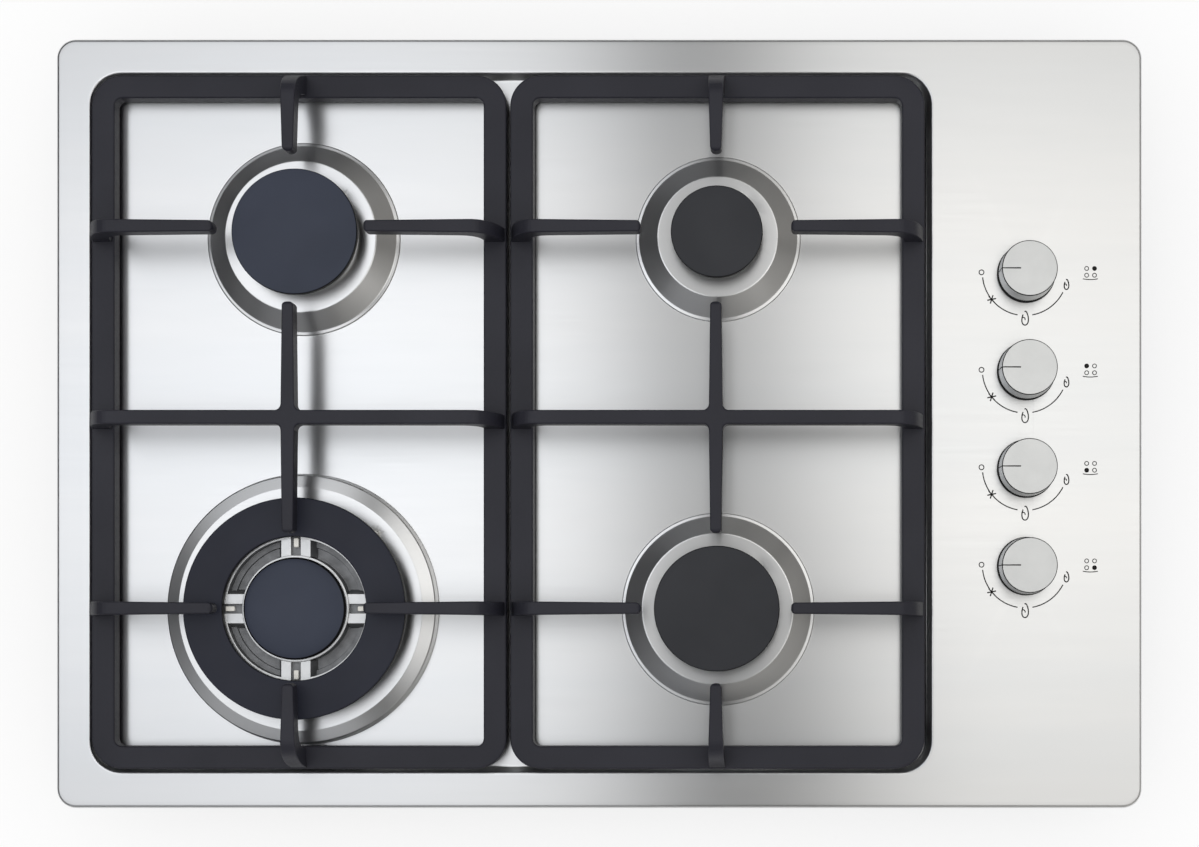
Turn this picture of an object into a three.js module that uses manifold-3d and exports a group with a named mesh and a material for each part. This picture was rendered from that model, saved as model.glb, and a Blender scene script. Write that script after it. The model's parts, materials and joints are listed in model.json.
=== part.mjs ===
import * as THREE from 'three';
import { mergeVertices } from 'three/addons/utils/BufferGeometryUtils.js';
import Module from 'manifold-3d';

const wasm = await Module();
wasm.setup();

// A four-burner gas cooktop, in millimetres. Seen from the front, +X is to the right, +Y to the back, +Z up.
// The origin is under the middle of the plate, on the underside of the burner box.

// ---------------------------------------------------------------- driving dimensions

const SEAT_GAP = 0.3;
const SHEET = 0.8;

// heights above the underside of the box
const WORKTOP_Z = 50;
const RIM_RISE = 7;
const RECESS_DEPTH = 5.6;
const BURNER_RISE = 10;

// plate
const PLATE_LENGTH = 720;
const PLATE_DEPTH = 510;
const PLATE_CORNER_RADIUS = 13;
const PLATE_EDGE_RADIUS = 2.4;
const LIP_CLEARANCE = 0.3;
const CONTROL_STRIP = 139.8;
const LEFT_MARGIN = 22.6;
const FRONT_MARGIN = 23.65;
const REAR_MARGIN = 22.65;
const RECESS_LENGTH = PLATE_LENGTH - CONTROL_STRIP - LEFT_MARGIN;
const RECESS_WIDTH = PLATE_DEPTH - FRONT_MARGIN - REAR_MARGIN;
const RECESS_X = (LEFT_MARGIN - CONTROL_STRIP) / 2;
const RECESS_Y = (FRONT_MARGIN - REAR_MARGIN) / 2;
const RECESS_CORNER_RADIUS = 20.5;
const RECESS_WALL_RUN = 3.3;
const FOLD = 0.9;

// pan supports
const SUPPORT_LEFT_GAP = 4.1;
const SUPPORT_RIGHT_GAP = 5;
const SUPPORT_MIDDLE_GAP = 2.5;
const SUPPORT_END_GAP = 3.5;
const SUPPORT_LENGTH = (RECESS_LENGTH - SUPPORT_LEFT_GAP - SUPPORT_MIDDLE_GAP - SUPPORT_RIGHT_GAP) / 2;
const SUPPORT_DEPTH = RECESS_WIDTH - 2 * SUPPORT_END_GAP;
const SUPPORT_HEIGHT = 45;
const SUPPORT_CORNER_RADIUS = 20;
const FRAME_WIDTH = 15;
const FRAME_TOP = 14.6;
const FRAME_THICKNESS = 11.6;
const FRAME_BEVEL = 1.2;
const FOOT_RADIUS = 5;
const BLADE_TIP_WIDTH = 7.2;
const BLADE_WIDTH = 9;
const BLADE_DEPTH = 12;
const BLADE_BEVEL = 0.9;
const CENTRE_ROOT_WIDTH = 10.5;
const FINGER_TIP_RADIUS = 48.5;
const NOSE_RUN = 5.4;
const ROOT_RUN = 18;
const ARCH_RUN = 13;
const CROSS_FILLET = 4;

// burner places, each under the middle of half a pan support
const END_REACH = 105.35;
const LEFT_BURNER_X = RECESS_X - (RECESS_LENGTH - SUPPORT_LENGTH) / 2 + SUPPORT_LEFT_GAP;
const RIGHT_BURNER_X = RECESS_X + (RECESS_LENGTH - SUPPORT_LENGTH) / 2 - SUPPORT_RIGHT_GAP;
const BURNER_Y = SUPPORT_DEPTH / 2 - END_REACH;

// knobs, seals and valves
const KNOB_INSET = 77;
const KNOB_X = PLATE_LENGTH / 2 - KNOB_INSET;
const KNOB_REAR_Y = 99.25;
const KNOB_PITCH = 64.6;
const KNOB_RADIUS = 18.8;
const KNOB_TOP_RADIUS = 18.2;
const KNOB_HEIGHT = 20.6;
const KNOB_BEVEL = 2.2;
const KNOB_WALL = 2;
const KNOB_ROOF = 3.6;
const KNOB_HUB_RADIUS = 6.5;
const KNOB_TRAVEL = 3;
const SEAL_RADIUS = 20.2;
const SEAL_FLANGE = 0.9;
const SEAL_HEIGHT = 5;
const SPINDLE_RADIUS = 3;
const SPINDLE_FLAT = 2.2;
const SPINDLE_HOLE = 5;
const PLUG_RADIUS = 6;
const PLUG_HEIGHT = 18;
const VALVE_RADIUS = 10.5;
const VALVE_HEIGHT = 22;
const VALVE_FLOOR = 3;
const VALVE_FLANGE_LENGTH = 36;
const VALVE_FLANGE_WIDTH = 24;
const VALVE_FLANGE_THICKNESS = 3;
const VALVE_FLANGE_CORNER = 5;
const SADDLE_LENGTH = 16;
const SADDLE_WALL = 2;
const FEED_RADIUS = 2;
const PLUG_PORT_RADIUS = 1.6;

// gas pipework
const MANIFOLD_RADIUS = 7;
const MANIFOLD_WALL = 1.5;
const MANIFOLD_Z = 16.5;
const MANIFOLD_OVERHANG = 24;
const MANIFOLD_REAR_GAP = 24.75;
const MANIFOLD_END = 3;
const MANIFOLD_FOOT = { web: 4, length: 12, width: 26, thickness: 1.6 };
const INLET_RADIUS = 9;
const INLET_BORE = 6.5;
const INLET_NUT_RADIUS = 12.5;
const INLET_NUT_HEIGHT = 6;
const INLET_COLLAR_RADIUS = 11.5;
const INLET_COLLAR_LENGTH = 9;
const INLET_REACH = 36;
const INLET_BEND = 12;
const TUBE_RADIUS = 3.2;
const TUBE_WALL = 0.8;
const TUBE_BEND = 14;
const TUBE_SEAT = 4;
const TUBE_STRAIGHT = 24;
const TUBE_DROP_RUN = 12;
const TUBE_BORE_DEPTH = 6;
const GAS_PORT_RADIUS = 5.4;
const GAS_PORT_LENGTH = 8;

// burner box and what is in it
const BOX_END_INSET = 32;
const BOX_SIDE_INSET = 29;
const BOX_LENGTH = PLATE_LENGTH - 2 * BOX_END_INSET;
const BOX_DEPTH = PLATE_DEPTH - 2 * BOX_SIDE_INSET;
const BOX_CORNER_RADIUS = 8;
const BOX_FLANGE = 12;
const BOX_FOLD = 3;
const AIR_SLOT = { length: 44, width: 5, pitch: 16 };
const GASKET_INSET = 5;
const GASKET_WIDTH = 7;
const SPARK_MODULE = { length: 84, width: 36, height: 28, x: -60, y: 2.4, ear: 10, post: 3, postHeight: 7 };
const TERMINAL_BLOCK = {
    length: 46, width: 26, height: 22, x: 196, wallGap: 22, wireHole: 3.4, screwWell: 3,
};
const GLAND_RADIUS = 12;
const GLAND_BORE = 5.5;
const GLAND_WAIST = 9;
const GLAND_LENGTH = 13;
const GLAND_LIP = 2;
const GLAND_HEAD = 4;
const CLAMP_WIDTH = 22;
const CLAMP_REACH = 24;
const CLAMP_THICKNESS = 2;
const CLAMP_TOE = 4;
const CLAMP_TOP_GAP = 14;
const CLAMP_SLOT_WIDTH = 5;
const CLAMP_SLOT_MARGIN = 7;
const WORKTOP_THICKNESS = 38;
const CLAMP_X = 150;

// burners: radii unless the name says otherwise
const SEMI_RAPID = {
    cone: 63.75, platform: 50, cap: 41, crown: 37, throat: 22.5, electrode: 38.4, ports: 10, portWidth: 2.4,
};
const AUXILIARY = {
    cone: 54.5, platform: 39.75, cap: 30, crown: 26, throat: 14.5, electrode: 27.4, ports: 8, portWidth: 2.4,
};
const WOK = {
    cone: 89.5, platform: 82, cap: 72.5, crown: 69, throat: 28, electrode: 70, ports: 14, portWidth: 2.4,
    capHole: 47, innerCap: 33.5, innerCrown: 35, spokeWidth: 19, grooveWidth: 6.5, grooveDepth: 3,
    lipWidth: 3.4, lipRise: 1.2, sparkTip: 4,
};

// burner heights, the same on every size
const CROWN_HEIGHT = 12;
const CAP_THICKNESS = 5;
const CAP_EDGE = 1.3;
const CAP_ROOF = 1.8;
const CAP_RING = 2;
const CAP_RING_DEPTH = 2.5;
const DOME = { edge: 2.2, bevel: 1.6, shoulder: 3.7, brow: 4.8, top: 5.1, hollow: 1.4 };
const HEAD_FLANGE = 2.6;
const HEAD_WALL = 2;
const HEAD_BORE_SHARE = 0.42;
const CROWN_DRAFT = 0.6;
const SKIRT_DEPTH = 11;
const SKIRT_CLEARANCE = 0.5;
const CROWN_WALL = 5;
const PORT_DEPTH = 4.3;
const CUP_WALL = 2.4;
const CUP_CLEARANCE = 1.2;
const CUP_FLANGE = 9;
const CUP_BASE = 10;
const CUP_BOTTOM_Z = 20;
const CUP_FLANGE_THICKNESS = 2.5;
const CUP_WINDOW = { width: 13, sill: 6, lintel: 9 };
const JET_RADIUS = 3.6;
const JET_HEIGHT = 9;
const JET_BORE = 0.7;
const JET_NOSE = { radius: 1.8, length: 2 };
const JET_HEXAGON = { radius: 5.2, height: 4, bore: 1.5 };
const ELECTRODE_RADIUS = 2;
const ELECTRODE_COLLAR = { height: 4, radius: 3.6, bevel: 1 };
const ELECTRODE_LENGTH = 26;
const ELECTRODE_PIN = { radius: 0.8, above: 2, below: 5 };
const ELECTRODE_DROP = 3;

// facets round a circle
const ROUND = { cone: 22, cap: 20, head: 16, knob: 16, seal: 12, small: 10, tiny: 8, least: 6, corner: 3 };

// ---------------------------------------------------------------- heights worked out from them

const rimTop = WORKTOP_Z + RIM_RISE;
const rimUnder = rimTop - SHEET;
const floorTop = rimTop - RECESS_DEPTH;
const floorUnder = floorTop - SHEET;
const platformTop = floorTop + BURNER_RISE;
const platformUnder = platformTop - SHEET;
const crownBottom = platformTop + SEAT_GAP;
const crownTop = crownBottom + CROWN_HEIGHT;
const capBottom = crownTop + SEAT_GAP;
const capTop = capBottom + CAP_THICKNESS;
const supportTop = floorTop + SUPPORT_HEIGHT;
const frameTop = floorTop + FRAME_TOP;
const frameBottom = frameTop - FRAME_THICKNESS;
const valveBottom = MANIFOLD_Z + MANIFOLD_RADIUS + VALVE_FLANGE_THICKNESS;
const valveTop = valveBottom + VALVE_HEIGHT;
const gasPortZ = CUP_BOTTOM_Z + CUP_BASE / 2;
const boxInside = SHEET + SEAT_GAP;

// ---------------------------------------------------------------- shaping tools

/** The geometry as one closed mesh with shared corners, no slivers and its faces turned outward. */
function closed(geometry) {
    const bare = geometry.clone();
    bare.deleteAttribute('normal');
    bare.deleteAttribute('uv');
    const merged = mergeVertices(bare, 1e-4);
    const corners = merged.index.array;
    const place = merged.attributes.position;
    const kept = [];
    let volume = 0;
    const a = new THREE.Vector3();
    const b = new THREE.Vector3();
    const c = new THREE.Vector3();
    for (let i = 0; i < corners.length; i += 3) {
        const [p, q, r] = [corners[i], corners[i + 1], corners[i + 2]];
        if (p === q || q === r || r === p) continue;
        kept.push(p, q, r);
        a.fromBufferAttribute(place, p);
        b.fromBufferAttribute(place, q);
        c.fromBufferAttribute(place, r);
        volume += a.dot(b.cross(c));
    }
    if (volume < 0) kept.reverse();
    merged.setIndex(kept);
    return merged;
}

/** A closed geometry as a solid that can be joined and cut. */
function solid(geometry) {
    const mesh = closed(geometry);
    return new wasm.Manifold(new wasm.Mesh({
        numProp: 3,
        vertProperties: new Float32Array(mesh.attributes.position.array),
        triVerts: new Uint32Array(mesh.index.array),
    }));
}

/** A solid as a geometry with a flat normal on each face. */
function faceted(body) {
    const mesh = body.getMesh();
    const geometry = new THREE.BufferGeometry();
    geometry.setAttribute('position', new THREE.BufferAttribute(new Float32Array(mesh.vertProperties), 3));
    geometry.setIndex(new THREE.BufferAttribute(new Uint32Array(mesh.triVerts), 1));
    const flat = geometry.toNonIndexed();
    flat.computeVertexNormals();
    return flat;
}

/** Joins all the solids into one. */
function join(...bodies) {
    return bodies.reduce((whole, body) => whole.add(body));
}

/** Takes each of the tools away from a solid. */
function cut(body, ...tools) {
    return tools.reduce((rest, tool) => rest.subtract(tool), body);
}

/** Points of an arc about (x, z) from one angle to another, in degrees. */
function arc(x, z, radius, from, to, steps) {
    return Array.from({ length: steps + 1 }, (_, i) => {
        const angle = THREE.MathUtils.degToRad(THREE.MathUtils.lerp(from, to, i / steps));
        return [x + radius * Math.cos(angle), z + radius * Math.sin(angle)];
    });
}

/** A profile of [radius, height] points turned about the Z axis. It closes on itself or on the axis. */
function revolve(profile, facets) {
    const points = profile.map(([radius, height]) => new THREE.Vector2(radius, height));
    if (profile[0][0] > 0) points.push(points[0].clone());
    return solid(new THREE.LatheGeometry(points, facets).rotateX(Math.PI / 2));
}

/** An upright cylinder between two heights. */
function post(radius, bottom, top, facets = ROUND.small) {
    return revolve([[0, bottom], [radius, bottom], [radius, top], [0, top]], facets);
}

/** A box by its middle in plan, its size in plan and its lower and upper height. */
function block(x, y, length, width, bottom, top) {
    const geometry = new THREE.BoxGeometry(length, width, top - bottom);
    return solid(geometry.translate(x, y, (bottom + top) / 2));
}

/** The outline of a rectangle with round corners, anticlockwise, with as many points at any size. */
function roundedOutline(length, width, radius, steps = ROUND.corner) {
    const corners = [[1, 1, 0], [-1, 1, 90], [-1, -1, 180], [1, -1, 270]];
    return corners.flatMap(([sx, sy, start]) => {
        const x = sx * (length / 2 - radius);
        const y = sy * (width / 2 - radius);
        return arc(x, y, radius, start, start + 90, steps);
    });
}

/** A THREE.Shape through [x, y] points. */
function outlineShape(points) {
    return new THREE.Shape(points.map(([x, y]) => new THREE.Vector2(x, y)));
}

/** A flat outline raised from one height to another, with an optional bevel inside the outline. */
function raise(outline, bottom, top, bevel = 0, hole = null) {
    const shape = outlineShape(outline);
    if (hole) shape.holes.push(outlineShape(hole));
    const geometry = new THREE.ExtrudeGeometry(shape, {
        depth: top - bottom - 2 * bevel,
        bevelEnabled: bevel > 0,
        bevelSize: bevel,
        bevelThickness: bevel,
        bevelOffset: -bevel,
        bevelSegments: 1,
    });
    return solid(geometry.translate(0, 0, bottom + bevel));
}

/** A skin stretched over outlines of equal count, each at its own height, with a flat lid at both ends. */
function loft(sections) {
    const count = sections[0].outline.length;
    const place = sections.flatMap(({ outline, z }) => outline.flatMap(([x, y]) => [x, y, z]));
    const faces = [];
    for (let level = 0; level + 1 < sections.length; level++) {
        for (let i = 0; i < count; i++) {
            const next = (i + 1) % count;
            const [a, b] = [level * count + i, level * count + next];
            faces.push(a, b, b + count, a, b + count, a + count);
        }
    }
    const base = sections[0].outline.map(([x, y]) => new THREE.Vector2(x, y));
    const lid = THREE.ShapeUtils.triangulateShape(base, []);
    const last = (sections.length - 1) * count;
    for (const [a, b, c] of lid) faces.push(a, c, b, last + a, last + b, last + c);
    const geometry = new THREE.BufferGeometry();
    geometry.setAttribute('position', new THREE.Float32BufferAttribute(place, 3));
    geometry.setIndex(faces);
    return solid(geometry);
}

/** Rectangles with round corners, drawn in by each profile point's inset at its height, and skinned. */
function loftRectangle(length, width, radius, profile) {
    return loft(profile.map(([inset, z]) => ({
        outline: roundedOutline(length - 2 * inset, width - 2 * inset, Math.max(radius - inset, 0.5)),
        z,
    })));
}

/** A route through points that spends one step on each stretch, so that a straight run is a single step. */
class Route extends THREE.Curve {
    constructor(points) {
        super();
        this.points = points;
        this.steps = points.length - 1;
    }

    getPoint(t) {
        const along = THREE.MathUtils.clamp(t, 0, 1) * this.steps;
        const from = Math.min(Math.floor(along), this.steps - 1);
        return this.points[from].clone().lerp(this.points[from + 1], along - from);
    }

    getPointAt(u) {
        return this.getPoint(u);
    }

    getTangentAt(u) {
        const at = Math.round(u * this.steps);
        const before = this.points[Math.max(at - 1, 0)];
        const after = this.points[Math.min(at + 1, this.steps)];
        return after.clone().sub(before).normalize();
    }
}

/** A route through corner points, straight between them and rounded at each. */
function bentRoute(corners, bend) {
    const points = corners.map((corner) => new THREE.Vector3(...corner));
    const rounded = [points[0]];
    for (let i = 1; i + 1 < points.length; i++) {
        const [back, on] = [points[i].distanceTo(points[i - 1]), points[i].distanceTo(points[i + 1])];
        const reach = Math.min(bend, back * 0.45, on * 0.45);
        const before = points[i].clone().lerp(points[i - 1], reach / back);
        const after = points[i].clone().lerp(points[i + 1], reach / on);
        rounded.push(...new THREE.QuadraticBezierCurve3(before, points[i], after).getPoints(2));
    }
    return new Route([...rounded, points[points.length - 1]]);
}

/** A round bar along a route. */
function bar(route, radius, facets = ROUND.tiny) {
    const section = outlineShape(arc(0, 0, radius, 0, 360 - 360 / facets, facets - 1));
    const swept = { steps: route.steps, extrudePath: route, bevelEnabled: false };
    return solid(new THREE.ExtrudeGeometry(section, swept));
}

/** The radius of a faceted bore that clears a round bar by the seat gap, however both are turned. */
function clearOf(radius, facets = ROUND.tiny) {
    return (radius + SEAT_GAP) / Math.cos(Math.PI / facets);
}

/** A straight round bar between two points. */
function rod(from, to, radius, facets = ROUND.tiny) {
    return bar(new Route([new THREE.Vector3(...from), new THREE.Vector3(...to)]), radius, facets);
}

// ---------------------------------------------------------------- materials

/** A material by its colour, roughness and metalness. */
function finish(color, roughness, metalness) {
    return new THREE.MeshStandardMaterial({ color, roughness, metalness });
}

const brushedSteel = () => finish(0xdcdddd, 0.35, 0.9);
const galvanised = () => finish(0xa9adb0, 0.5, 0.8);
const castEnamel = () => finish(0x303034, 0.55, 0.1);
const capEnamel = () => finish(0x383a42, 0.5, 0.1);
const aluminium = () => finish(0xc9cacb, 0.45, 0.85);
const knobMetal = () => finish(0xdadbdb, 0.3, 0.6);
const blackRubber = () => finish(0x151517, 0.8, 0);
const brass = () => finish(0xb9974f, 0.4, 0.85);
const plastic = () => finish(0x1d1e20, 0.6, 0);
const porcelain = () => finish(0xeeece6, 0.4, 0);

/** One named piece of the cooktop. */
function piece(name, body, material) {
    const mesh = new THREE.Mesh(faceted(body), material);
    mesh.name = name;
    return mesh;
}

// ---------------------------------------------------------------- the places of burners and knobs

const burners = [
    { name: 'rear_right', x: RIGHT_BURNER_X, y: BURNER_Y, size: AUXILIARY },
    { name: 'rear_left', x: LEFT_BURNER_X, y: BURNER_Y, size: SEMI_RAPID },
    { name: 'front_left', x: LEFT_BURNER_X, y: -BURNER_Y, size: WOK },
    { name: 'front_right', x: RIGHT_BURNER_X, y: -BURNER_Y, size: SEMI_RAPID },
].map((burner, row) => ({ ...burner, knobY: KNOB_REAR_Y - row * KNOB_PITCH }));

/** The electrode stands at this angle round its burner, clear of the fingers of the pan support. */
const ELECTRODE_ANGLE = THREE.MathUtils.degToRad(45);

/** Where a burner's electrode stands in plan, about the burner's middle. */
function electrodePlace({ electrode }) {
    return [electrode * Math.cos(ELECTRODE_ANGLE), electrode * Math.sin(ELECTRODE_ANGLE)];
}

// ---------------------------------------------------------------- the plate

/** A raised cone of the plate with its flat platform and the soft fold at the platform's edge. */
function coneForm({ cone, platform }, offset) {
    const slope = Math.atan2(BURNER_RISE, cone - platform);
    const shrink = offset * Math.tan(slope / 2);
    return revolve([
        [0, WORKTOP_Z - RIM_RISE],
        [cone - shrink, WORKTOP_Z - RIM_RISE],
        [cone - shrink, floorTop - offset],
        [platform - shrink + Math.cos(slope) * FOLD, platformTop - offset - Math.sin(slope) * FOLD],
        [platform - shrink - FOLD, platformTop - offset],
        [0, platformTop - offset],
    ], ROUND.cone);
}

/** The solid under the plate's upper face (offset 0) or under its lower face (offset the sheet). */
function pressedForm(offset) {
    const edge = arc(PLATE_EDGE_RADIUS, rimTop - PLATE_EDGE_RADIUS, PLATE_EDGE_RADIUS - offset, 180, 90, 2);
    const foot = WORKTOP_Z + LIP_CLEARANCE - 2 * offset;
    const plan = loftRectangle(PLATE_LENGTH, PLATE_DEPTH, PLATE_CORNER_RADIUS, [[offset, foot], ...edge]);

    const slope = Math.atan2(RECESS_DEPTH, RECESS_WALL_RUN);
    const shift = -offset * Math.tan(slope / 2);
    const fold = [Math.cos(slope) * FOLD, Math.sin(slope) * FOLD];
    const pocket = loftRectangle(RECESS_LENGTH, RECESS_WIDTH, RECESS_CORNER_RADIUS, [
        [shift + RECESS_WALL_RUN + FOLD, floorTop - offset],
        [shift + RECESS_WALL_RUN - fold[0], floorTop - offset + fold[1]],
        [shift + fold[0], rimTop - offset - fold[1]],
        [shift - FOLD, rimTop - offset],
        [shift - FOLD, rimTop + RIM_RISE],
    ]).translate([RECESS_X, RECESS_Y, 0]);

    const floor = plan.subtract(pocket);
    const cones = burners.map(({ x, y, size }) => coneForm(size, offset).translate([x, y, 0]));
    const below = block(0, 0, 2 * PLATE_LENGTH, 2 * PLATE_DEPTH, 0, foot);
    return cut(join(floor, ...cones), below);
}

/** The pressed plate, with a hole for each burner throat, electrode and knob spindle. */
function hobPlate() {
    const holes = burners.flatMap(({ x, y, size, knobY }) => {
        const [ex, ey] = electrodePlace(size);
        return [
            post(clearOf(size.throat - SKIRT_CLEARANCE, ROUND.head), floorUnder, capTop, ROUND.head)
                .translate([x, y, 0]),
            post(ELECTRODE_RADIUS + SEAT_GAP, floorUnder, capTop, ROUND.tiny).translate([x + ex, y + ey, 0]),
            post(SPINDLE_HOLE, WORKTOP_Z, capTop, ROUND.small).translate([KNOB_X, knobY, 0]),
        ];
    });
    return cut(pressedForm(0), pressedForm(SHEET), ...holes);
}

// ---------------------------------------------------------------- the pan supports

/** Outline points of a blade's free tip, from its underside up: [distance in from the end, height]. */
function tipOutline() {
    const nose = new THREE.QuadraticBezierCurve(
        new THREE.Vector2(0, supportTop - NOSE_RUN),
        new THREE.Vector2(0, supportTop),
        new THREE.Vector2(NOSE_RUN, supportTop),
    );
    const underside = [[BLADE_DEPTH * 0.3, supportTop - BLADE_DEPTH], [1.2, supportTop - BLADE_DEPTH * 0.8]];
    return [...underside, ...nose.getPoints(2).map(({ x, y }) => [x, y])];
}

/** Outline points where a blade springs from the frame, from its underside round to its top. */
function rootOutline() {
    const arch = new THREE.QuadraticBezierCurve(
        new THREE.Vector2(FRAME_WIDTH + ARCH_RUN, supportTop - BLADE_DEPTH),
        new THREE.Vector2(FRAME_WIDTH + 1, supportTop - BLADE_DEPTH),
        new THREE.Vector2(FRAME_WIDTH - FRAME_BEVEL, frameTop),
    );
    const back = new THREE.CubicBezierCurve(
        new THREE.Vector2(FRAME_BEVEL, frameTop - FRAME_BEVEL),
        new THREE.Vector2(FRAME_BEVEL + 2, THREE.MathUtils.lerp(frameTop, supportTop, 0.45)),
        new THREE.Vector2(ROOT_RUN * 0.45, supportTop),
        new THREE.Vector2(ROOT_RUN + 2, supportTop),
    );
    const sunk = frameTop - FRAME_THICKNESS / 2;
    return [
        ...arch.getPoints(2).map(({ x, y }) => [x, y]),
        [FRAME_WIDTH - 2 * FRAME_BEVEL, sunk],
        [2 * FRAME_BEVEL, sunk],
        ...back.getPoints(4).map(({ x, y }) => [x, y]),
    ];
}

/** Outline points of a blade's square end, from its underside up. */
function squareOutline() {
    return [[0, supportTop - BLADE_DEPTH], [0, supportTop]];
}

/** An upright blade along +X from 0 to its length, with an outline and a width of its own at each end. */
function blade(length, startEnd, farEnd, startWidth, farWidth) {
    const start = startEnd();
    const far = farEnd().map(([inset, z]) => [length - inset, z]);
    const outline = outlineShape([...far, ...start.reverse()]);
    const geometry = new THREE.ExtrudeGeometry(outline, {
        depth: BLADE_WIDTH - 2 * BLADE_BEVEL,
        bevelSize: BLADE_BEVEL,
        bevelThickness: BLADE_BEVEL,
        bevelOffset: -BLADE_BEVEL,
        bevelSegments: 1,
    });
    geometry.translate(0, 0, -BLADE_WIDTH / 2 + BLADE_BEVEL);
    geometry.rotateX(Math.PI / 2);
    const place = geometry.attributes.position;
    for (let i = 0; i < place.count; i++) {
        const along = THREE.MathUtils.clamp(place.getX(i) / length, 0, 1);
        const width = THREE.MathUtils.lerp(startWidth, farWidth, along);
        place.setY(i, place.getY(i) * width / BLADE_WIDTH);
    }
    return solid(geometry);
}

/** Concave fillets in the four corners where two blades cross. */
function crossFillets() {
    const half = BLADE_WIDTH / 2 - BLADE_BEVEL;
    const reach = half + CROSS_FILLET;
    const outline = [[reach, 180], [-reach, 270], [-reach, 0], [reach, 90]].flatMap(([x, start], corner) => {
        const y = corner < 2 ? reach : -reach;
        return arc(x, y, CROSS_FILLET, start + 90, start, 2);
    });
    return raise(outline, supportTop - BLADE_DEPTH + BLADE_BEVEL, supportTop - BLADE_BEVEL, 0);
}

/** One cast pan support about its own middle: a low frame, a cross and three fingers to each burner. */
function panSupport() {
    const frame = raise(
        roundedOutline(SUPPORT_LENGTH, SUPPORT_DEPTH, SUPPORT_CORNER_RADIUS),
        frameBottom,
        frameTop,
        FRAME_BEVEL,
        roundedOutline(
            SUPPORT_LENGTH - 2 * FRAME_WIDTH,
            SUPPORT_DEPTH - 2 * FRAME_WIDTH,
            SUPPORT_CORNER_RADIUS - FRAME_WIDTH,
        ).reverse(),
    );
    const finger = (reach, rootWidth) => (
        blade(reach - FINGER_TIP_RADIUS, tipOutline, rootOutline, BLADE_TIP_WIDTH, rootWidth)
            .translate([FINGER_TIP_RADIUS, 0, 0])
    );
    const sideFinger = finger(SUPPORT_LENGTH / 2, BLADE_WIDTH);
    const endFinger = finger(END_REACH, CENTRE_ROOT_WIDTH);
    const fingers = [90, -90].flatMap((out) => {
        const y = Math.sign(out) * BURNER_Y;
        return [
            sideFinger.translate([0, y, 0]),
            sideFinger.rotate([0, 0, 180]).translate([0, y, 0]),
            endFinger.rotate([0, 0, out]).translate([0, y, 0]),
        ];
    });
    const across = blade(SUPPORT_LENGTH, rootOutline, rootOutline, BLADE_WIDTH, BLADE_WIDTH)
        .translate([-SUPPORT_LENGTH / 2, 0, 0]);
    const armReach = BURNER_Y - FINGER_TIP_RADIUS;
    const arms = [90, -90].map((out) => (
        blade(armReach + CROSS_FILLET / 2, tipOutline, squareOutline, BLADE_TIP_WIDTH, BLADE_WIDTH)
            .translate([-armReach, 0, 0])
            .rotate([0, 0, out])
    ));
    const footX = SUPPORT_LENGTH / 2 - FRAME_WIDTH / 2;
    const footY = SUPPORT_DEPTH / 2 - SUPPORT_CORNER_RADIUS - FOOT_RADIUS;
    const feet = [[1, 1], [-1, 1], [-1, -1], [1, -1]].map(([sx, sy]) => {
        const foot = post(FOOT_RADIUS, floorTop + SEAT_GAP, frameBottom + FRAME_BEVEL, ROUND.tiny);
        return foot.translate([sx * footX, sy * footY, 0]);
    });
    return join(frame, ...fingers, across, ...arms, crossFillets(), ...feet);
}

// ---------------------------------------------------------------- burners

/** Radial slots in a crown's upper edge, which are the flame ports under the cap. */
function portCutters({ crown, ports, portWidth }) {
    const inner = crown - 1.5 * CROWN_WALL;
    const reach = 2 * CROWN_WALL;
    return Array.from({ length: ports }, (_, i) => {
        const slot = block(inner + reach / 2, 0, reach, portWidth, crownTop - PORT_DEPTH, crownTop + 1);
        return slot.rotate([0, 0, (360 * (i + 0.5)) / ports]);
    });
}

/** The notch that lets the electrode stand beside the crown. */
function electrodeNotch(size) {
    const [x, y] = electrodePlace(size);
    const spare = ELECTRODE_RADIUS + 2 * SEAT_GAP;
    return post(spare, floorUnder, capTop, ROUND.tiny).translate([x, y, 0]);
}

/** The head of a one-ring burner: a skirt in the throat, a flange on the plate and a slotted crown. */
function burnerHead(size) {
    const skirt = size.throat - SKIRT_CLEARANCE;
    const bore = skirt * HEAD_BORE_SHARE;
    const well = crownBottom + 2 * HEAD_FLANGE;
    const body = revolve([
        [skirt - HEAD_WALL, crownBottom - SKIRT_DEPTH],
        [skirt, crownBottom - SKIRT_DEPTH],
        [skirt, crownBottom],
        [size.crown + CROWN_DRAFT, crownBottom],
        [size.crown + CROWN_DRAFT, crownBottom + HEAD_FLANGE],
        [size.crown - CROWN_DRAFT, crownTop],
        [size.crown - CROWN_WALL, crownTop],
        [size.crown - CROWN_WALL - CROWN_DRAFT, well],
        [bore, well],
        [bore, crownBottom],
    ], ROUND.head);
    return cut(body, electrodeNotch(size), ...portCutters(size));
}

/** The outer radius of a cap's locating ring, which drops inside the wall of a crown. */
function ringRadius(crown) {
    return crown - CROWN_WALL - CROWN_DRAFT - 2 * SEAT_GAP;
}

/** The enamelled cap of a one-ring burner, hollow below, with a ring that locates it in the crown. */
function burnerCap(size) {
    const ring = ringRadius(size.crown);
    return revolve([
        [0, capTop - CAP_ROOF],
        [ring - CAP_RING, capTop - CAP_ROOF],
        [ring - CAP_RING, capBottom - CAP_RING_DEPTH],
        [ring, capBottom - CAP_RING_DEPTH],
        [ring, capBottom],
        [size.cap, capBottom],
        [size.cap, capTop - CAP_EDGE],
        [size.cap - CAP_EDGE, capTop],
        [0, capTop],
    ], ROUND.cap);
}

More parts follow.
